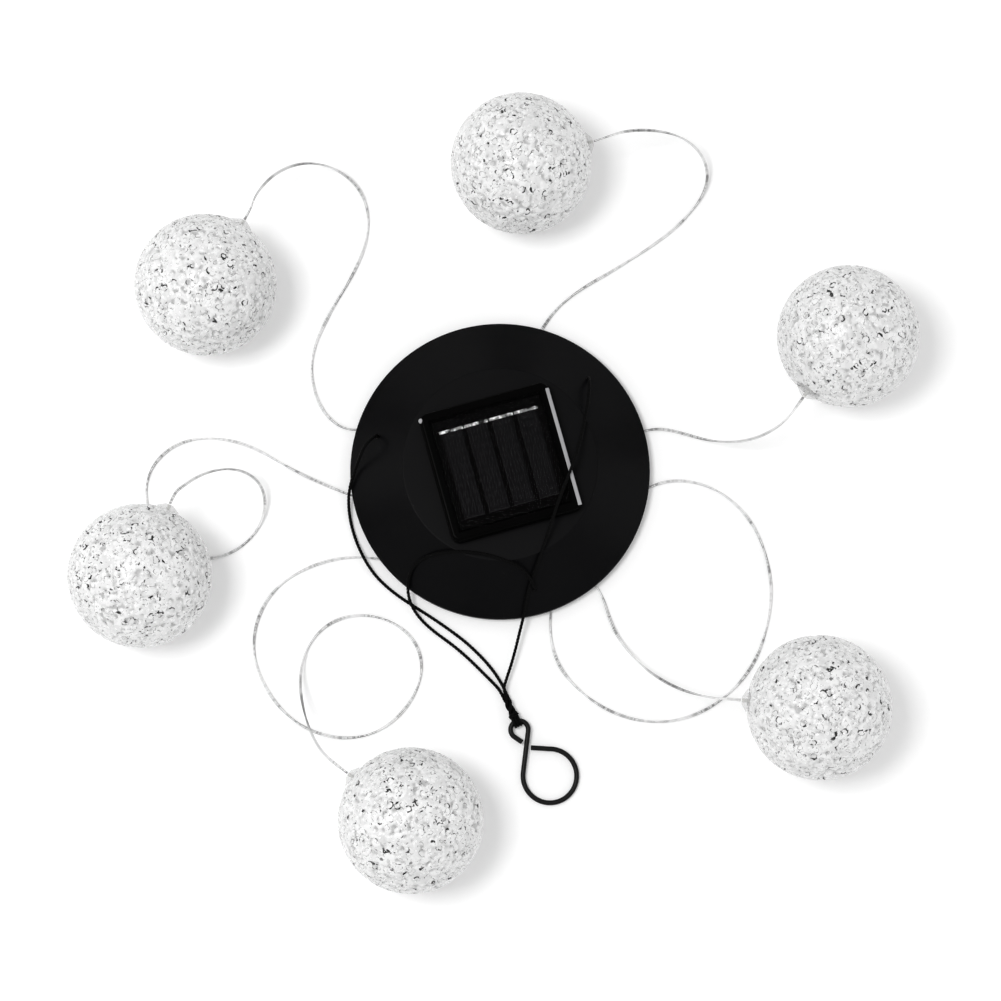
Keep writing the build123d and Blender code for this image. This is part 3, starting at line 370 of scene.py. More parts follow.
# ---- Suspension cords and their knot ----
# Three black nylon cords come up through holes in the cone and end in one tied knot,
# lashed round the small eye of the hook. Each cord is laid up from three strands.
CORD_R = 0.7
CORD_STRAND_R = 0.39
CORD_PITCH = 4.2
CORD_SIDES = 8
CORD_STEPS = 14
CORD_LENGTHS = (143.2, 131.9, 143.9)
RIM_R = 60.0
RIM_TOP_Z = 5.0
PLATEAU_R = 38.5
PLATEAU_Z = 19.5
CONE_SLOPE = (PLATEAU_Z - RIM_TOP_Z) / (RIM_R - PLATEAU_R)
CORD_HOLE_PCR = 50.5
CORD_HOLE_Z = round(RIM_TOP_Z + (RIM_R - CORD_HOLE_PCR) * CONE_SLOPE, 3)
CORD_HOLE_ANGLES = (150, 270, 30)
CORD_EXIT = 2.2
KNOT_RUN = 4.2
# Where each cord lies in the knot: to its side, and above its axis
KNOT_SEATS = ((0.85, -0.8), (-0.85, -0.8), (0.0, 0.85))
HOOK_AXIS_Z = 2.65
KNOT_TAIL = Vector((-21.9, -89.5, HOOK_AXIS_Z))
HOOK_EYE = Vector((-20.3, -101.9, HOOK_AXIS_Z))
HOOK_EYE_R = 3.5
CORD_ROUTES = (
    [(-44.6, 24.8, 15.6), (-46.2, 24.0, 16.9), (-48.2, 22.9, 17.2), (-50.1, 21.5, 16.3),
     (-51.8, 19.8, 14.4), (-54.0, 17.4, 11.2), (-56.5, 14.2, 8.2), (-59.3, 10.0, 6.4),
     (-61.5, 5.2, 4.3), (-62.7, -0.1, 2.2), (-63.2, -5.6, 0.9), (-63.0, -11.0, 1.1),
     (-62.4, -16.2, 3.0), (-61.2, -21.8, 3.0), (-59.3, -27.0, 1.0), (-56.5, -32.0, 0.7),
     (-52.5, -37.6, 0.7), (-47.4, -43.4, 0.7), (-42.0, -49.4, 0.7), (-36.6, -55.8, 0.7),
     (-31.4, -62.6, 0.7), (-27.2, -69.6, 0.7), (-24.4, -75.4, 0.8), (-22.7, -80.4, 1.2)],
    [(-0.1, -49.6, 15.6), (-0.5, -47.6, 17.4), (-1.6, -44.6, 19.0), (-4.4, -40.8, 20.4),
     (-9.4, -36.8, 21.0), (-15.6, -33.0, 20.9), (-22.2, -30.2, 20.8), (-28.8, -28.3, 20.0),
     (-35.2, -27.2, 17.1), (-40.7, -27.6, 13.9), (-44.6, -29.8, 10.9), (-47.0, -33.2, 8.4),
     (-48.4, -37.2, 6.3), (-48.7, -41.4, 4.7), (-47.8, -45.8, 3.2), (-45.6, -50.6, 1.6),
     (-42.0, -55.8, 0.7), (-37.8, -61.0, 0.7), (-33.8, -66.6, 0.7), (-30.4, -72.2, 0.7),
     (-27.6, -77.2, 0.8), (-25.2, -81.4, 1.2)],
    [(43.5, 24.3, 15.7), (43.1, 22.1, 17.4), (41.8, 18.4, 18.8), (38.7, 11.2, 21.0),
     (34.8, 3.6, 23.6), (30.5, -4.0, 26.0), (26.2, -10.3, 27.5), (20.4, -18.0, 27.4),
     (14.0, -27.0, 27.2), (7.0, -37.4, 21.6), (-1.4, -48.6, 14.2), (-4.8, -54.8, 10.0),
     (-6.9, -59.6, 6.8), (-9.8, -64.6, 5.6), (-13.0, -70.4, 5.0), (-16.6, -76.4, 4.2),
     (-19.9, -81.2, 3.7)],
)
knot_axis = (HOOK_EYE - KNOT_TAIL).normalized()
knot_side = Vector((-knot_axis.y, knot_axis.x, 0))


def cord_route(index):
    """Control points of a suspension cord, from its hole in the cone to the knot's tail."""
    side, height = KNOT_SEATS[index]
    seat = KNOT_TAIL + knot_side * side + Vector((0, 0, height))
    hole = on_circle(CORD_HOLE_PCR, CORD_HOLE_ANGLES[index], CORD_HOLE_Z)
    return ([hole, hole + Vector((0, 0, CORD_EXIT))] + CORD_ROUTES[index]
            + [seat - knot_axis * KNOT_RUN, seat])


# Spun nylon: deep black filaments that lie along each strand. Their raised crowns are
# painted a shade lighter, a painted sheen, beside the faint real sheen of the gloss. Real
# filaments are too fine to show, so they are drawn coarser.
NYLON_BLACK = "#020202"
NYLON_PAINTED_SHEEN = "#060606"
FILAMENTS = 9                   # round a strand
FILAMENT_CHANGES = 0.7          # along it, in each millimetre
black_nylon, tree = empty_material("spun_black_nylon")
where = add(tree, "ShaderNodeUVMap", uv_map="lay")
drawn_out = add(tree, "ShaderNodeMapping", {"Vector": where.outputs[0],
                                            "Scale": (FILAMENTS, FILAMENT_CHANGES, 1)})
fibre = add(tree, "ShaderNodeTexNoise", {"Vector": drawn_out.outputs[0], "Scale": 1.0,
                                         "Detail": 3.0})
# Painted sheen: the colour lightens where the fibre relief is raised.
mixed = add(tree, "ShaderNodeMix", {0: fibre.outputs[0], 6: linear(NYLON_BLACK),
                                    7: linear(NYLON_PAINTED_SHEEN)}, data_type="RGBA")
relief = add(tree, "ShaderNodeBump", {"Height": fibre.outputs[0], "Strength": 0.5,
                                      "Distance": 0.05 * MM})
silk = add(tree, "ShaderNodeBsdfPrincipled", {"Base Color": mixed.outputs[2], "Roughness": 0.6,
                                              "IOR": 1.53, "Specular IOR Level": 0.04,
                                              "Normal": relief.outputs[0]})
add(tree, "ShaderNodeOutputMaterial", {"Surface": silk.outputs[0]})

# The knot is the three ends twisted into one bundle, tied in an overhand knot above the
# hook, and lashed three times round its eye. Two cut ends stick out of it.
BUNDLE_STRAND_R = 0.78
BUNDLE_LAY_R = BUNDLE_STRAND_R * 1.1
BUNDLE_PITCH = 11.0
BUNDLE_SIDES = 12
BUNDLE_STEPS = 30
RING_STEPS = 40
RING_SIDES = 12
KNOT_NOSE_GAP = 0.7
KNOT_TURN_R = 1.35
KNOT_TURN_WIRE_R = 0.68
# Each turn of the knot: how far up the bundle it lies, how far its axis leans to the side
# and upwards, and its radius
KNOT_TURNS = (
    (2.3, 0.35, 0.0, KNOT_TURN_R),
    (1.1, -0.3, 0.2, KNOT_TURN_R),
    (0.2, 0.0, 0.25, KNOT_TURN_R * 0.7),
)
LASHING_RING_R = 1.95
LASHING_R = 0.58
LASHING_OFFSETS = (-0.9, 0.2, 1.3)
# Each cut end: the side that it points to, how far it rises, and its length
CUT_ENDS = ((1, 0.0, 1.4), (-1, 0.3, 1.2))
CUT_END_STRAND_R = CORD_STRAND_R * 0.9
CUT_END_UP = 1.2                # from the knot's nose to the roots of the cut ends
CUT_END_OUT = 0.9               # from the bundle's axis to where a cut end starts
CUT_END_LEAN = 0.5
CUT_END_STEPS = 8
upright = Vector((0, 0, 1))
eye_wire = HOOK_EYE - knot_axis * HOOK_EYE_R
nose = eye_wire - knot_axis * KNOT_NOSE_GAP


def cord_ring(centre, axis, ring_r, wire_r):
    """One closed turn of cord about an axis, with the cord's own UV map."""
    bpy.ops.object.select_all(action="DESELECT")
    bpy.ops.mesh.primitive_torus_add(major_radius=ring_r * MM, minor_radius=wire_r * MM,
                                     major_segments=RING_STEPS, minor_segments=RING_SIDES)
    ring = bpy.context.object
    facing = axis.to_track_quat("Z", "Y").to_matrix().to_4x4()
    ring.data.transform(Matrix.Translation(centre * MM) @ facing)
    layer = ring.data.uv_layers[0]
    layer.name = "lay"
    for corner in layer.data:
        corner.uv = (corner.uv.y, corner.uv.x * 2 * math.pi * ring_r)
    ring.data.shade_smooth()
    return ring


bundle_line = [KNOT_TAIL.lerp(nose, k / BUNDLE_STEPS) * MM for k in range(BUNDLE_STEPS + 1)]
knot = twisted("tied_knot", bundle_line, 3, BUNDLE_STRAND_R, BUNDLE_LAY_R, BUNDLE_PITCH, BUNDLE_SIDES)
rings = []
for up, aside, rise, ring_r in KNOT_TURNS:
    leaning = knot_axis + knot_side * aside + upright * rise
    rings.append(cord_ring(nose - knot_axis * up, leaning, ring_r, KNOT_TURN_WIRE_R))
for offset in LASHING_OFFSETS:
    rings.append(cord_ring(eye_wire + knot_side * offset, knot_side, LASHING_RING_R, LASHING_R))
for side, rise, length in CUT_ENDS:
    root = nose - knot_axis * CUT_END_UP
    way = (knot_side * side + upright * rise - knot_axis * CUT_END_LEAN).normalized()
    end_line = [(root + way * (CUT_END_OUT + length * k / CUT_END_STEPS)) * MM
                for k in range(CUT_END_STEPS + 1)]
    rings.append(twisted("cut_end", end_line, 3, CUT_END_STRAND_R, CORD_R - CORD_STRAND_R,
                         CORD_PITCH, CORD_SIDES))
bpy.ops.object.select_all(action="DESELECT")
for ring in rings:
    ring.select_set(True)
knot.select_set(True)
bpy.context.view_layer.objects.active = knot
bpy.ops.object.join()
knot.data.materials.clear()
knot.data.materials.append(black_nylon)
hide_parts("cord_knot")
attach(knot, "housing")

for index, length in enumerate(CORD_LENGTHS):
    number = index + 1
    line = smooth_line(cord_route(index), CORD_STEPS)
    cord = twisted(f"nylon_cord_{number}", line, 3, CORD_STRAND_R, CORD_R - CORD_STRAND_R,
                   CORD_PITCH, CORD_SIDES)
    cord.data.materials.append(black_nylon)
    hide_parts(f"cord_{number}")
    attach(cord, "housing")

# ---- Housing ----
# The conical cap is one moulding of black ABS with a satin face. It stands on a matt
# bottom cover, which closes it and carries the battery, the switch and the board.
ABS_BLACK = "#050506"
ABS_SHINE = "#080809"
MOTTLE = 14.0
DULL_LEVEL = 0.04


def moulded(name, deep, light, roughness, grain, relief_depth, level=DULL_LEVEL):
    """Moulded or cast plastic: faint mottling, and the fine grain of the mould's face.
    The grain and its relief are in millimetres."""
    made, tree = empty_material(name)
    where = add(tree, "ShaderNodeTexCoord")
    mottle = add(tree, "ShaderNodeTexNoise", {"Vector": where.outputs["Object"],
                                              "Scale": 1 / (MOTTLE * MM), "Detail": 3.0})
    mixed = add(tree, "ShaderNodeMix", {0: mottle.outputs[0], 6: linear(deep), 7: linear(light)},
                data_type="RGBA")
    face = add(tree, "ShaderNodeTexNoise", {"Vector": where.outputs["Object"],
                                            "Scale": 1 / (grain * MM), "Detail": 2.0})
    relief = add(tree, "ShaderNodeBump", {"Height": face.outputs[0], "Strength": 0.4,
                                          "Distance": relief_depth * MM})
    polish = add(tree, "ShaderNodeMapRange", {0: mottle.outputs[0], 3: roughness - 0.05,
                                              4: roughness + 0.07})
    plastic = add(tree, "ShaderNodeBsdfPrincipled", {"Base Color": mixed.outputs[2],
                                                     "Roughness": polish.outputs[0], "IOR": 1.53,
                                                     "Specular IOR Level": level,
                                                     "Normal": relief.outputs[0]})
    add(tree, "ShaderNodeOutputMaterial", {"Surface": plastic.outputs[0]})
    return made


def finish_nodes(finish, *names):
    """Gives CAD nodes their finish."""
    for name in names:
        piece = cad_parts[name]
        for slot in piece.material_slots:
            slot.material = finish


# Moulded ABS: the cap's fine-grained face has a soft broad sheen, and the cover's and the
# lid's coarser one is matt. The lead grommets are moulded rubber, duller still.
satin_abs = moulded("satin_moulded_abs", ABS_BLACK, ABS_SHINE, 0.36, 0.35, 0.015)
finish_nodes(satin_abs, "housing_cap")
matt_abs = moulded("matt_moulded_abs", "#101011", "#1a1a1b", 0.62, 0.5, 0.03)
finish_nodes(matt_abs, "bottom_cover", "battery_lid")
rubber = moulded("moulded_rubber", "#0c0c0c", "#151515", 0.75, 0.6, 0.02)
finish_nodes(rubber, "lead_grommets")

# ---- Solar panel ----
# Four strips of dark silicon under clear resin, in a glossy black frame. Fine silver
# fingers run along each strip and end on a tinned ribbon at its head.
SILICON = "#070708"
SILICON_LIGHT = "#0d0d0e"
FINGER = "#2b2b2d"
FINGER_PITCH = 1.3
FINGER_WIDTH = 0.34
FINGER_BREAK = 3.4
PRINT_PATCH = 1.3
CRYSTAL = 2.5
# The frame is polished ABS, all but black with tight highlights, and the laminate behind
# the cells is duller.
gloss_abs = moulded("polished_moulded_abs", "#020202", "#030303", 0.2, 3.0, 0.02, 0.012)
finish_nodes(gloss_abs, "panel_frame")
backing_black = moulded("black_laminate", "#020202", "#040404", 0.5, 0.4, 0.02, 0.015)
finish_nodes(backing_black, "panel_backing")

# Polycrystalline silicon, screen printed: faint crystals in the dark face, and thin silver
# fingers that come and go. Real fingers are too fine to show, so they are drawn wider.
silicon, tree = empty_material("screen_printed_silicon")
where = add(tree, "ShaderNodeTexCoord")
split = add(tree, "ShaderNodeSeparateXYZ", {0: where.outputs["Object"]})
across = add(tree, "ShaderNodeMath", {0: split.outputs["X"], 1: FINGER_PITCH / 2 * MM},
             operation="PINGPONG")
on_finger = add(tree, "ShaderNodeMath", {0: across.outputs[0], 1: FINGER_WIDTH / 2 * MM},
                operation="LESS_THAN")
sway = add(tree, "ShaderNodeTexNoise", {"Vector": where.outputs["Object"],
                                        "Scale": 1 / (PRINT_PATCH * MM)})
along = add(tree, "ShaderNodeMath", {0: split.outputs["Y"], 1: FINGER_BREAK / 2 * MM},
            operation="PINGPONG")
dash = add(tree, "ShaderNodeMapRange", {0: along.outputs[0], 2: FINGER_BREAK / 2 * MM})
patchy = add(tree, "ShaderNodeMath", {0: dash.outputs[0], 1: sway.outputs[0]},
             operation="MULTIPLY")
printed = add(tree, "ShaderNodeMath", {0: patchy.outputs[0], 1: on_finger.outputs[0]},
              operation="MULTIPLY")
wafer = add(tree, "ShaderNodeTexVoronoi", {"Vector": where.outputs["Object"],
                                           "Scale": 1 / (CRYSTAL * MM)})
crystal = add(tree, "ShaderNodeMix", {0: wafer.outputs["Distance"], 6: linear(SILICON),
                                      7: linear(SILICON_LIGHT)}, data_type="RGBA")
mixed = add(tree, "ShaderNodeMix", {0: printed.outputs[0], 6: crystal.outputs[2],
                                    7: linear(FINGER)}, data_type="RGBA")
cell_face = add(tree, "ShaderNodeBsdfPrincipled", {"Base Color": mixed.outputs[2], "Roughness": 0.35,
                                                   "IOR": 1.5, "Specular IOR Level": 0.035})
add(tree, "ShaderNodeOutputMaterial", {"Surface": cell_face.outputs[0]})
finish_nodes(silicon, "solar_cells")

# Copper ribbon, tinned by hand: rounded lumps of solder, some of them painted nearly
# white among greyer ones as painted highlights, and dark gaps show between them.
TIN_DARK = "#242424"
TIN_GREY = "#848484"
TIN_PAINTED_HIGHLIGHT_WHITE = "#f4f4f4"
SOLDER_LUMP = 1.7
tinned, tree = empty_material("hand_tinned_copper_ribbon")
where = add(tree, "ShaderNodeTexCoord")
lump = add(tree, "ShaderNodeTexNoise", {"Vector": where.outputs["Object"],
                                        "Scale": 1 / (SOLDER_LUMP * MM), "Detail": 2.0})
bare = add(tree, "ShaderNodeMapRange", {0: lump.outputs[0], 1: 0.4, 2: 0.46})
# Painted highlights: the colour turns nearly white on the highest lumps.
painted_solder_highlight = add(tree, "ShaderNodeMapRange", {0: lump.outputs[0], 1: 0.57, 2: 0.63})
tin = add(tree, "ShaderNodeMix", {0: bare.outputs[0], 6: linear(TIN_DARK), 7: linear(TIN_GREY)},
          data_type="RGBA")
mixed = add(tree, "ShaderNodeMix", {0: painted_solder_highlight.outputs[0], 6: tin.outputs[2],
                                    7: linear(TIN_PAINTED_HIGHLIGHT_WHITE)}, data_type="RGBA")
relief = add(tree, "ShaderNodeBump", {"Height": lump.outputs[0], "Strength": 0.8,
                                      "Distance": 0.2 * MM})
solder = add(tree, "ShaderNodeBsdfPrincipled", {"Base Color": mixed.outputs[2], "Metallic": 1.0,
                                                "Roughness": 0.3, "Normal": relief.outputs[0]})
add(tree, "ShaderNodeOutputMaterial", {"Surface": solder.outputs[0]})
finish_nodes(tinned, "cell_busbars")

# Clear cast epoxy resin: seen through from above, and a faint mirror at low angles.
clear_resin, tree = empty_material("clear_cast_resin")
edge_on = add(tree, "ShaderNodeFresnel", {"IOR": 1.06})
through = add(tree, "ShaderNodeBsdfTransparent", {"Color": linear("#f4f4f4")})
mirror = add(tree, "ShaderNodeBsdfAnisotropic", {"Roughness": 0.06})
mixed = add(tree, "ShaderNodeMixShader", {0: edge_on.outputs[0], 1: through.outputs[0],
                                          2: mirror.outputs[0]})
add(tree, "ShaderNodeOutputMaterial", {"Surface": mixed.outputs[0]})
finish_nodes(clear_resin, "panel_glass")

# A pale strip along the frame's +X side and a pale spot on one corner are painted
# highlights: thin pale shapes that stand for the light off the frame's rounded edge and
# corner. Both are pale and slightly shiny.
HIGHLIGHT_STRIP_X = (24.85, 26.4)
HIGHLIGHT_STRIP_Y = (-25.0, 23.4)
HIGHLIGHT_STRIP_RISE = 0.35
HIGHLIGHT_STRIP_SINK = 1.1 * HIGHLIGHT_STRIP_RISE
HIGHLIGHT_STRIP_TILT = 24                  # degrees, down the frame's rounded edge
HIGHLIGHT_STRIP_ROUND = 0.25
HIGHLIGHT_SPOT_PLACE = (-25.7, 23.9)
HIGHLIGHT_SPOT_R = 1.0
HIGHLIGHT_SPOT_HALF_HEIGHT = 0.5
frame_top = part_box("panel_frame")[1][2]
bpy.ops.object.select_all(action="DESELECT")
bpy.ops.mesh.primitive_cube_add(size=1)
highlight_strip = bpy.context.object
highlight_strip.name = "painted_highlight_strip"
highlight_strip_size = Vector((HIGHLIGHT_STRIP_X[1] - HIGHLIGHT_STRIP_X[0], HIGHLIGHT_STRIP_Y[1] - HIGHLIGHT_STRIP_Y[0], 2 * HIGHLIGHT_STRIP_RISE)) * MM
highlight_strip_middle = Vector((sum(HIGHLIGHT_STRIP_X) / 2 * MM, sum(HIGHLIGHT_STRIP_Y) / 2 * MM, frame_top - HIGHLIGHT_STRIP_SINK * MM))
highlight_strip.data.transform(Matrix.Translation(highlight_strip_middle)
                    @ Matrix.Rotation(math.radians(HIGHLIGHT_STRIP_TILT), 4, "Y")
                    @ Matrix.Diagonal((*highlight_strip_size, 1)))
bpy.ops.mesh.primitive_uv_sphere_add(segments=32, ring_count=16, radius=1)
highlight_spot = bpy.context.object
highlight_spot.name = "painted_highlight_spot"
highlight_spot_middle = Vector((HIGHLIGHT_SPOT_PLACE[0] * MM, HIGHLIGHT_SPOT_PLACE[1] * MM, frame_top - HIGHLIGHT_SPOT_HALF_HEIGHT * MM))
highlight_spot.data.transform(Matrix.Translation(highlight_spot_middle)
                    @ Matrix.Diagonal((HIGHLIGHT_SPOT_R * MM, HIGHLIGHT_SPOT_R * MM, HIGHLIGHT_SPOT_HALF_HEIGHT * MM, 1)))
highlight_spot.data.shade_smooth()
softened = highlight_strip.modifiers.new("softened", "BEVEL")
softened.width = HIGHLIGHT_STRIP_ROUND * MM
softened.segments = 3
bpy.context.view_layer.objects.active = highlight_strip
bpy.ops.object.modifier_apply(modifier="softened")
# Painted highlights: a pale, slightly shiny finish for the strip and the spot on the frame.
painted_highlight_finish = moulded("pale_finish_for_painted_highlights", "#969698", "#b0b0b2", 0.3, 1.2, 0.03, 0.2)
for piece in (highlight_strip, highlight_spot):
    piece.data.materials.append(painted_highlight_finish)
    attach(piece, "housing")

# ---- Fixings, battery and electronics ----
# Zinc-plated steel screws and battery contacts, a sleeved rechargeable cell, and a small
# green board with its moulded components.
STEEL = "#b4b4b6"
SCUFF = 0.8
# Zinc-plated steel: a plain grey metal, with scuffs that are duller than the rest.
plated, tree = empty_material("zinc_plated_steel")
where = add(tree, "ShaderNodeTexCoord")
scuff = add(tree, "ShaderNodeTexNoise", {"Vector": where.outputs["Object"],
                                         "Scale": 1 / (SCUFF * MM), "Detail": 4.0})
rough = add(tree, "ShaderNodeMapRange", {0: scuff.outputs[0], 3: 0.22, 4: 0.45})
steel = add(tree, "ShaderNodeBsdfPrincipled", {"Base Color": linear(STEEL), "Metallic": 1.0,
                                               "Roughness": rough.outputs[0]})
add(tree, "ShaderNodeOutputMaterial", {"Surface": steel.outputs[0]})
finish_nodes(plated, "cover_screws", "lid_screw", "battery_spring", "battery_contact")
# The other finishes: deep and light colour, roughness, grain, relief and specular level,
# and the pieces that have it. Films, masks and sleeves shine, and moulded parts are dull.
GLOSSY_LEVEL = 0.5
FINISHES = {
    "shrunk_pvc_sleeve": ("#3f6b4c", "#4a7858", 0.35, 2.0, 0.02, GLOSSY_LEVEL, ["battery"]),
    "solder_mask_on_glass_board": ("#12401f", "#185028", 0.45, 0.5, 0.02, GLOSSY_LEVEL,
                                   ["circuit_board"]),
    "moulded_epoxy": ("#161617", "#232325", 0.55, 0.3, 0.02, DULL_LEVEL,
                      ["board_parts", "switch_body"]),
    "moulded_nylon_knob": ("#1b1b1c", "#29292b", 0.5, 0.4, 0.03, DULL_LEVEL, ["switch_knob"]),
    "pvc_wire_sleeves": ("#b9b9b9", "#d2d2d2", 0.35, 0.6, 0.01, GLOSSY_LEVEL,
                         ["inner_wires", "lead_knots"]),
    "knotted_black_nylon": ("#0d0d0d", "#1c1c1c", 0.6, 0.25, 0.05, DULL_LEVEL, ["cord_stoppers"]),
}
for name, (*finish, pieces) in FINISHES.items():
    finish_nodes(moulded(name, *finish), *pieces)

# ---- Hook ----
# One steel wire bent cold into a figure eight and dipped in black paint, which ran a
# little before it dried and shines softly along the wire.
PAINT_DEEP = "#060606"
PAINT_LIGHT = "#101010"
PAINT_RUN = 2.2
painted, tree = empty_material("dipped_black_paint")
where = add(tree, "ShaderNodeTexCoord")
runs = add(tree, "ShaderNodeTexNoise", {"Vector": where.outputs["Object"],
                                        "Scale": 1 / (PAINT_RUN * MM), "Detail": 3.0})
mixed = add(tree, "ShaderNodeMix", {0: runs.outputs[0], 6: linear(PAINT_DEEP),
                                    7: linear(PAINT_LIGHT)}, data_type="RGBA")
relief = add(tree, "ShaderNodeBump", {"Height": runs.outputs[0], "Strength": 0.5,
                                      "Distance": 0.06 * MM})
paint = add(tree, "ShaderNodeBsdfPrincipled", {"Base Color": mixed.outputs[2], "Roughness": 0.35,
                                               "IOR": 1.5, "Specular IOR Level": 0.1,
                                               "Normal": relief.outputs[0]})
add(tree, "ShaderNodeOutputMaterial", {"Surface": paint.outputs[0]})
finish_nodes(painted, "hook")

# ---- Balls ----
# Each lamp ball is a hollow shell of clear acrylic granules, a few millimetres long,
# fused where they touch in a round mould. A clear collar holds it on its lead, and the
# lamp sits inside the neck. One shell is made, and each ball is a turned copy of it.
GRANULES = 2300
GRANULE_R = (1.05, 1.5)
GRANULE_LENGTH = (0.8, 1.3)     # half of it, in its radii
GRANULE_SIDES = 10
GRANULE_ROUND = 0.55            # rounding of its ends, in its radii
GRANULE_SEAT = 0.75             # from the mould to its middle, in its radii
GRANULE_SINK = 0.5              # how far some lie deeper than that
SCATTER = 0.03                  # of a granule's direction from an even spread
CORE_R = 27.1
MOULD_R = 28.05
FUSING = 0.44                   # size of the finest gap left between granules
MELTING = 0.4                   # share by which the fused skin is smoothed
NECK_CLEAR = 5.0
BALL_TURN = 60                  # degrees that each ball is rolled on from the last
random.seed(11)

bpy.ops.object.select_all(action="DESELECT")
bpy.ops.mesh.primitive_cylinder_add(vertices=GRANULE_SIDES, radius=1, depth=2)
granule = bpy.context.object
bpy.ops.object.mode_set(mode="EDIT")
bpy.ops.mesh.select_all(action="SELECT")
bpy.ops.mesh.bevel(offset=GRANULE_ROUND, segments=2)
bpy.ops.object.mode_set(mode="OBJECT")

golden = math.pi * (3 - math.sqrt(5))
granules = []
for k in range(GRANULES):
    height = 1 - (2 * k + 1) / GRANULES
    level = math.sqrt(1 - height * height)
    outward = Vector((height, level * math.cos(golden * k), level * math.sin(golden * k)))
    outward += Vector([random.uniform(-SCATTER, SCATTER) for _ in range(3)])
    outward.normalize()
    radius = random.uniform(*GRANULE_R)
    stretch = random.uniform(*GRANULE_LENGTH)
    tilt = Vector([random.gauss(0, 1) for _ in range(3)]).normalized()
    depth = random.uniform(0.0, GRANULE_SINK)
    if outward.x > 0 and math.hypot(outward.y, outward.z) * MOULD_R < NECK_CLEAR:
        continue
    one = granule.copy()
    one.data = granule.data.copy()
    turn = tilt.to_track_quat("Z", "Y").to_matrix().to_4x4()
    size = Matrix.Diagonal((radius, radius, radius * stretch, 1))
    seat = outward * (MOULD_R - GRANULE_SEAT * radius - depth)
    one.data.transform(Matrix.Translation(seat) @ turn @ size)
    bpy.context.scene.collection.objects.link(one)
    granules.append(one)
bpy.data.objects.remove(granule)

bpy.ops.mesh.primitive_ico_sphere_add(subdivisions=5, radius=CORE_R)
shell = bpy.context.object
for one in granules:
    one.select_set(True)
bpy.ops.object.join()
fused = shell.modifiers.new("fused", "REMESH")
fused.mode = "VOXEL"
fused.voxel_size = FUSING
fused.use_smooth_shade = True
bpy.ops.object.modifier_apply(modifier="fused")
soften = shell.modifiers.new("softened", "SMOOTH")
soften.factor = MELTING
soften.iterations = 1
bpy.ops.object.modifier_apply(modifier="softened")
grain = shell.data.attributes.new("grain", "FLOAT_VECTOR", "POINT")
for corner, place in zip(shell.data.vertices, grain.data):
    reach = corner.co.length
    if reach > MOULD_R:
        corner.co *= MOULD_R / reach
    place.vector = corner.co

# Clear cast acrylic, full of small facets. Every pellet is outlined in fine grey and
# ringed inside by its own far wall. The colour turns grey down in the crevices between
# granules, a painted shade; some facets are white, painted highlights; and a few
# crescents are black, painted dark reflections where a facet turns all light away.
GRANULE_PALE = "#f3f3f3"
GRANULE_MIST = "#dedede"
CREVICE_SHADE_AND_RING_GREY = "#cbcbcb"
RING_GREY = "#7a7a7a"
PAINTED_HIGHLIGHT_WHITE = "#fefefe"
PAINTED_REFLECTION_BLACK = "#050505"
# Sizes in millimetres of a pellet, a facet in it, and the bends in both and their reach.
# The breaks in the grey rings and the patches where glints lie are counted in each
# millimetre.
PELLET = 3.1
FACET = PELLET / 1.9
BEND = 2.0
BEND_REACH = (1.5, 1.5, 1.5)
GAP_CHANGES = 0.75
GLINT_CHANGES = 0.34
acrylic, tree = empty_material("fused_clear_acrylic")
where = add(tree, "ShaderNodeAttribute", attribute_name="grain")
reach = add(tree, "ShaderNodeVectorMath", {0: where.outputs["Vector"]}, operation="LENGTH")
# Painted shade: the colour greys towards the core, down in the crevices between granules.
crown_clear_of_painted_shade = add(tree, "ShaderNodeMapRange", {0: reach.outputs["Value"], 1: CORE_R + 0.1, 2: MOULD_R - 0.3},
            interpolation_type="SMOOTHSTEP")
bend = add(tree, "ShaderNodeTexNoise", {"Vector": where.outputs["Vector"], "Scale": 1 / BEND,
                                        "Detail": 1.0})
bent = add(tree, "ShaderNodeVectorMath", {0: bend.outputs["Color"], 1: BEND_REACH,
                                          2: where.outputs["Vector"]}, operation="MULTIPLY_ADD")
pellet = add(tree, "ShaderNodeTexVoronoi", {"Vector": bent.outputs[0], "Scale": 1 / PELLET})
facet = add(tree, "ShaderNodeTexVoronoi", {"Vector": bent.outputs[0], "Scale": 1 / FACET})
share = add(tree, "ShaderNodeSeparateColor", {0: pellet.outputs["Color"]})
pick = add(tree, "ShaderNodeSeparateColor", {0: facet.outputs["Color"]})
gap = add(tree, "ShaderNodeTexNoise", {"Vector": where.outputs["Vector"], "Scale": GAP_CHANGES,
                                       "Detail": 1.0})
tint = add(tree, "ShaderNodeMix", {0: share.outputs[0], 6: linear(GRANULE_MIST),
                                   7: linear(GRANULE_PALE)}, data_type="RGBA")
body = add(tree, "ShaderNodeMix", {0: crown_clear_of_painted_shade.outputs[0], 6: linear(CREVICE_SHADE_AND_RING_GREY), 7: tint.outputs[2]},
           data_type="RGBA")


def band(distance, middle, half_width, keep, level):
    """One where a distance is near a middle value and the keep pattern is above a level."""
    near = add(tree, "ShaderNodeMath", {0: distance, 1: middle, 2: half_width},
               operation="COMPARE")
    kept = add(tree, "ShaderNodeMath", {0: keep, 1: level}, operation="GREATER_THAN")
    both = add(tree, "ShaderNodeMath", {0: near.outputs[0], 1: kept.outputs[0]},
               operation="MULTIPLY")
    return both.outputs[0]


ring = band(pellet.outputs["Distance"], 0.44, 0.03, gap.outputs[0], 0.5)
small_ring = band(facet.outputs["Distance"], 0.36, 0.05, gap.outputs[0], 0.5)
# Painted highlights: white marks on some facets.
painted_facet_flash = band(facet.outputs["Distance"], 0.24, 0.09, pick.outputs[1], 0.34)
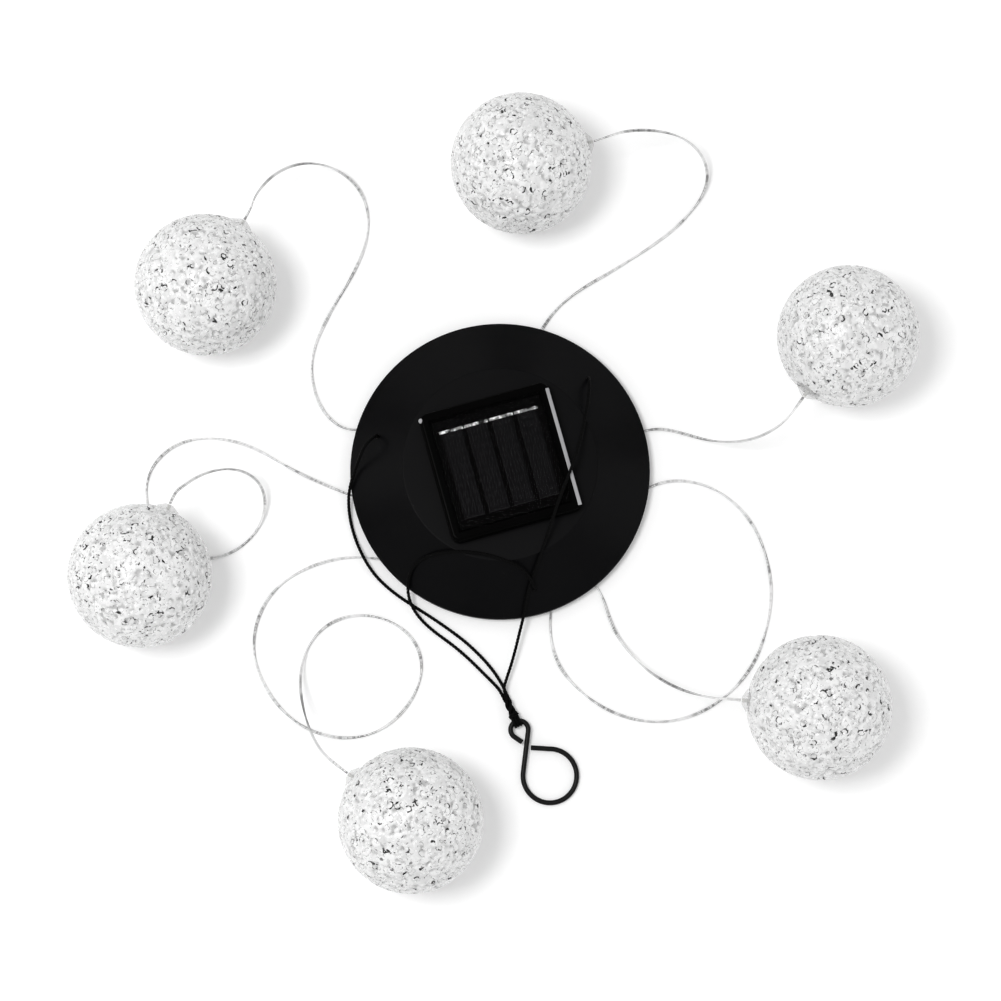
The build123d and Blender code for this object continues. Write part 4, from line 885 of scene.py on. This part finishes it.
# Painted dark reflections: short black crescents on some pellets.
dark_reflection_crescent = band(pellet.outputs["Distance"], 0.42, 0.085, share.outputs[1], 0.45)
glint_gap = add(tree, "ShaderNodeTexNoise", {"Vector": where.outputs["Vector"], "W": 3.0,
                                             "Scale": GLINT_CHANGES}, noise_dimensions="4D")
short = add(tree, "ShaderNodeMath", {0: glint_gap.outputs[0], 1: 0.575},
            operation="GREATER_THAN")
painted_dark_glint = add(tree, "ShaderNodeMath", {0: dark_reflection_crescent, 1: short.outputs[0]}, operation="MULTIPLY")
marks = ((ring, RING_GREY), (small_ring, CREVICE_SHADE_AND_RING_GREY), (painted_facet_flash, PAINTED_HIGHLIGHT_WHITE),
         (painted_dark_glint.outputs[0], PAINTED_REFLECTION_BLACK))
colour = body
for mask, tone in marks:
    colour = add(tree, "ShaderNodeMix", {0: mask, 6: colour.outputs[2], 7: linear(tone)},
                 data_type="RGBA")
relief = add(tree, "ShaderNodeBump", {"Height": facet.outputs["Distance"], "Strength": 0.35,
                                      "Distance": 0.3 * MM})
clear = add(tree, "ShaderNodeBsdfPrincipled", {"Base Color": colour.outputs[2], "Roughness": 0.2,
                                               "IOR": 1.49, "Subsurface Weight": 1.0,
                                               "Subsurface Radius": (1, 1, 1),
                                               "Subsurface Scale": 6.0 * MM,
                                               "Normal": relief.outputs[0]})
add(tree, "ShaderNodeOutputMaterial", {"Surface": clear.outputs[0]})
shell.data.materials.append(acrylic)

# Clear moulded acrylic collars: nearly seen through, with a milky haze where they are
# thick. The lamps are cast in frosted epoxy, even and pale.
COLLAR_HAZE = 1.5
clear_collar, tree = empty_material("clear_moulded_collar")
where = add(tree, "ShaderNodeTexCoord")
haze = add(tree, "ShaderNodeTexNoise", {"Vector": where.outputs["Object"],
                                        "Scale": 1 / (COLLAR_HAZE * MM)})
thick = add(tree, "ShaderNodeMapRange", {0: haze.outputs[0], 3: 0.12, 4: 0.3})
see_through = add(tree, "ShaderNodeBsdfTransparent", {"Color": linear("#f6f6f6")})
milky = add(tree, "ShaderNodeBsdfPrincipled", {"Base Color": linear("#ececec"),
                                               "Roughness": 0.15, "IOR": 1.49})
mixed = add(tree, "ShaderNodeMixShader", {0: thick.outputs[0], 1: see_through.outputs[0],
                                          2: milky.outputs[0]})
add(tree, "ShaderNodeOutputMaterial", {"Surface": mixed.outputs[0]})
lamp_white = moulded("frosted_lamp_epoxy", "#e4e4e0", "#f5f5f0", 0.3, 1.0, 0.02, GLOSSY_LEVEL)
for index, (x, y, neck_angle) in enumerate(BALLS):
    number = index + 1
    ball = shell.copy()
    ball.data = shell.data.copy()
    ball.name = f"granule_ball_{number}"
    roll = Matrix.Rotation(math.radians(BALL_TURN * index), 4, "X")
    heading = Matrix.Rotation(math.radians(neck_angle), 4, "Z")
    place = Matrix.Translation(Vector((x, y, BALL_R)) * MM)
    ball.data.transform(place @ heading @ roll @ Matrix.Scale(MM, 4))
    for corner in ball.data.vertices:
        corner.co = [min(max(c, low), high) for c, low, high in zip(corner.co, *cad_bounds)]
    bpy.context.scene.collection.objects.link(ball)
    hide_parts(f"ball_{number}_shell_near", f"ball_{number}_shell_far")
    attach(ball, f"ball_{number}")
    finish_nodes(clear_collar, f"ball_{number}_collar")
    finish_nodes(lamp_white, f"ball_{number}_led")
bpy.data.objects.remove(shell)
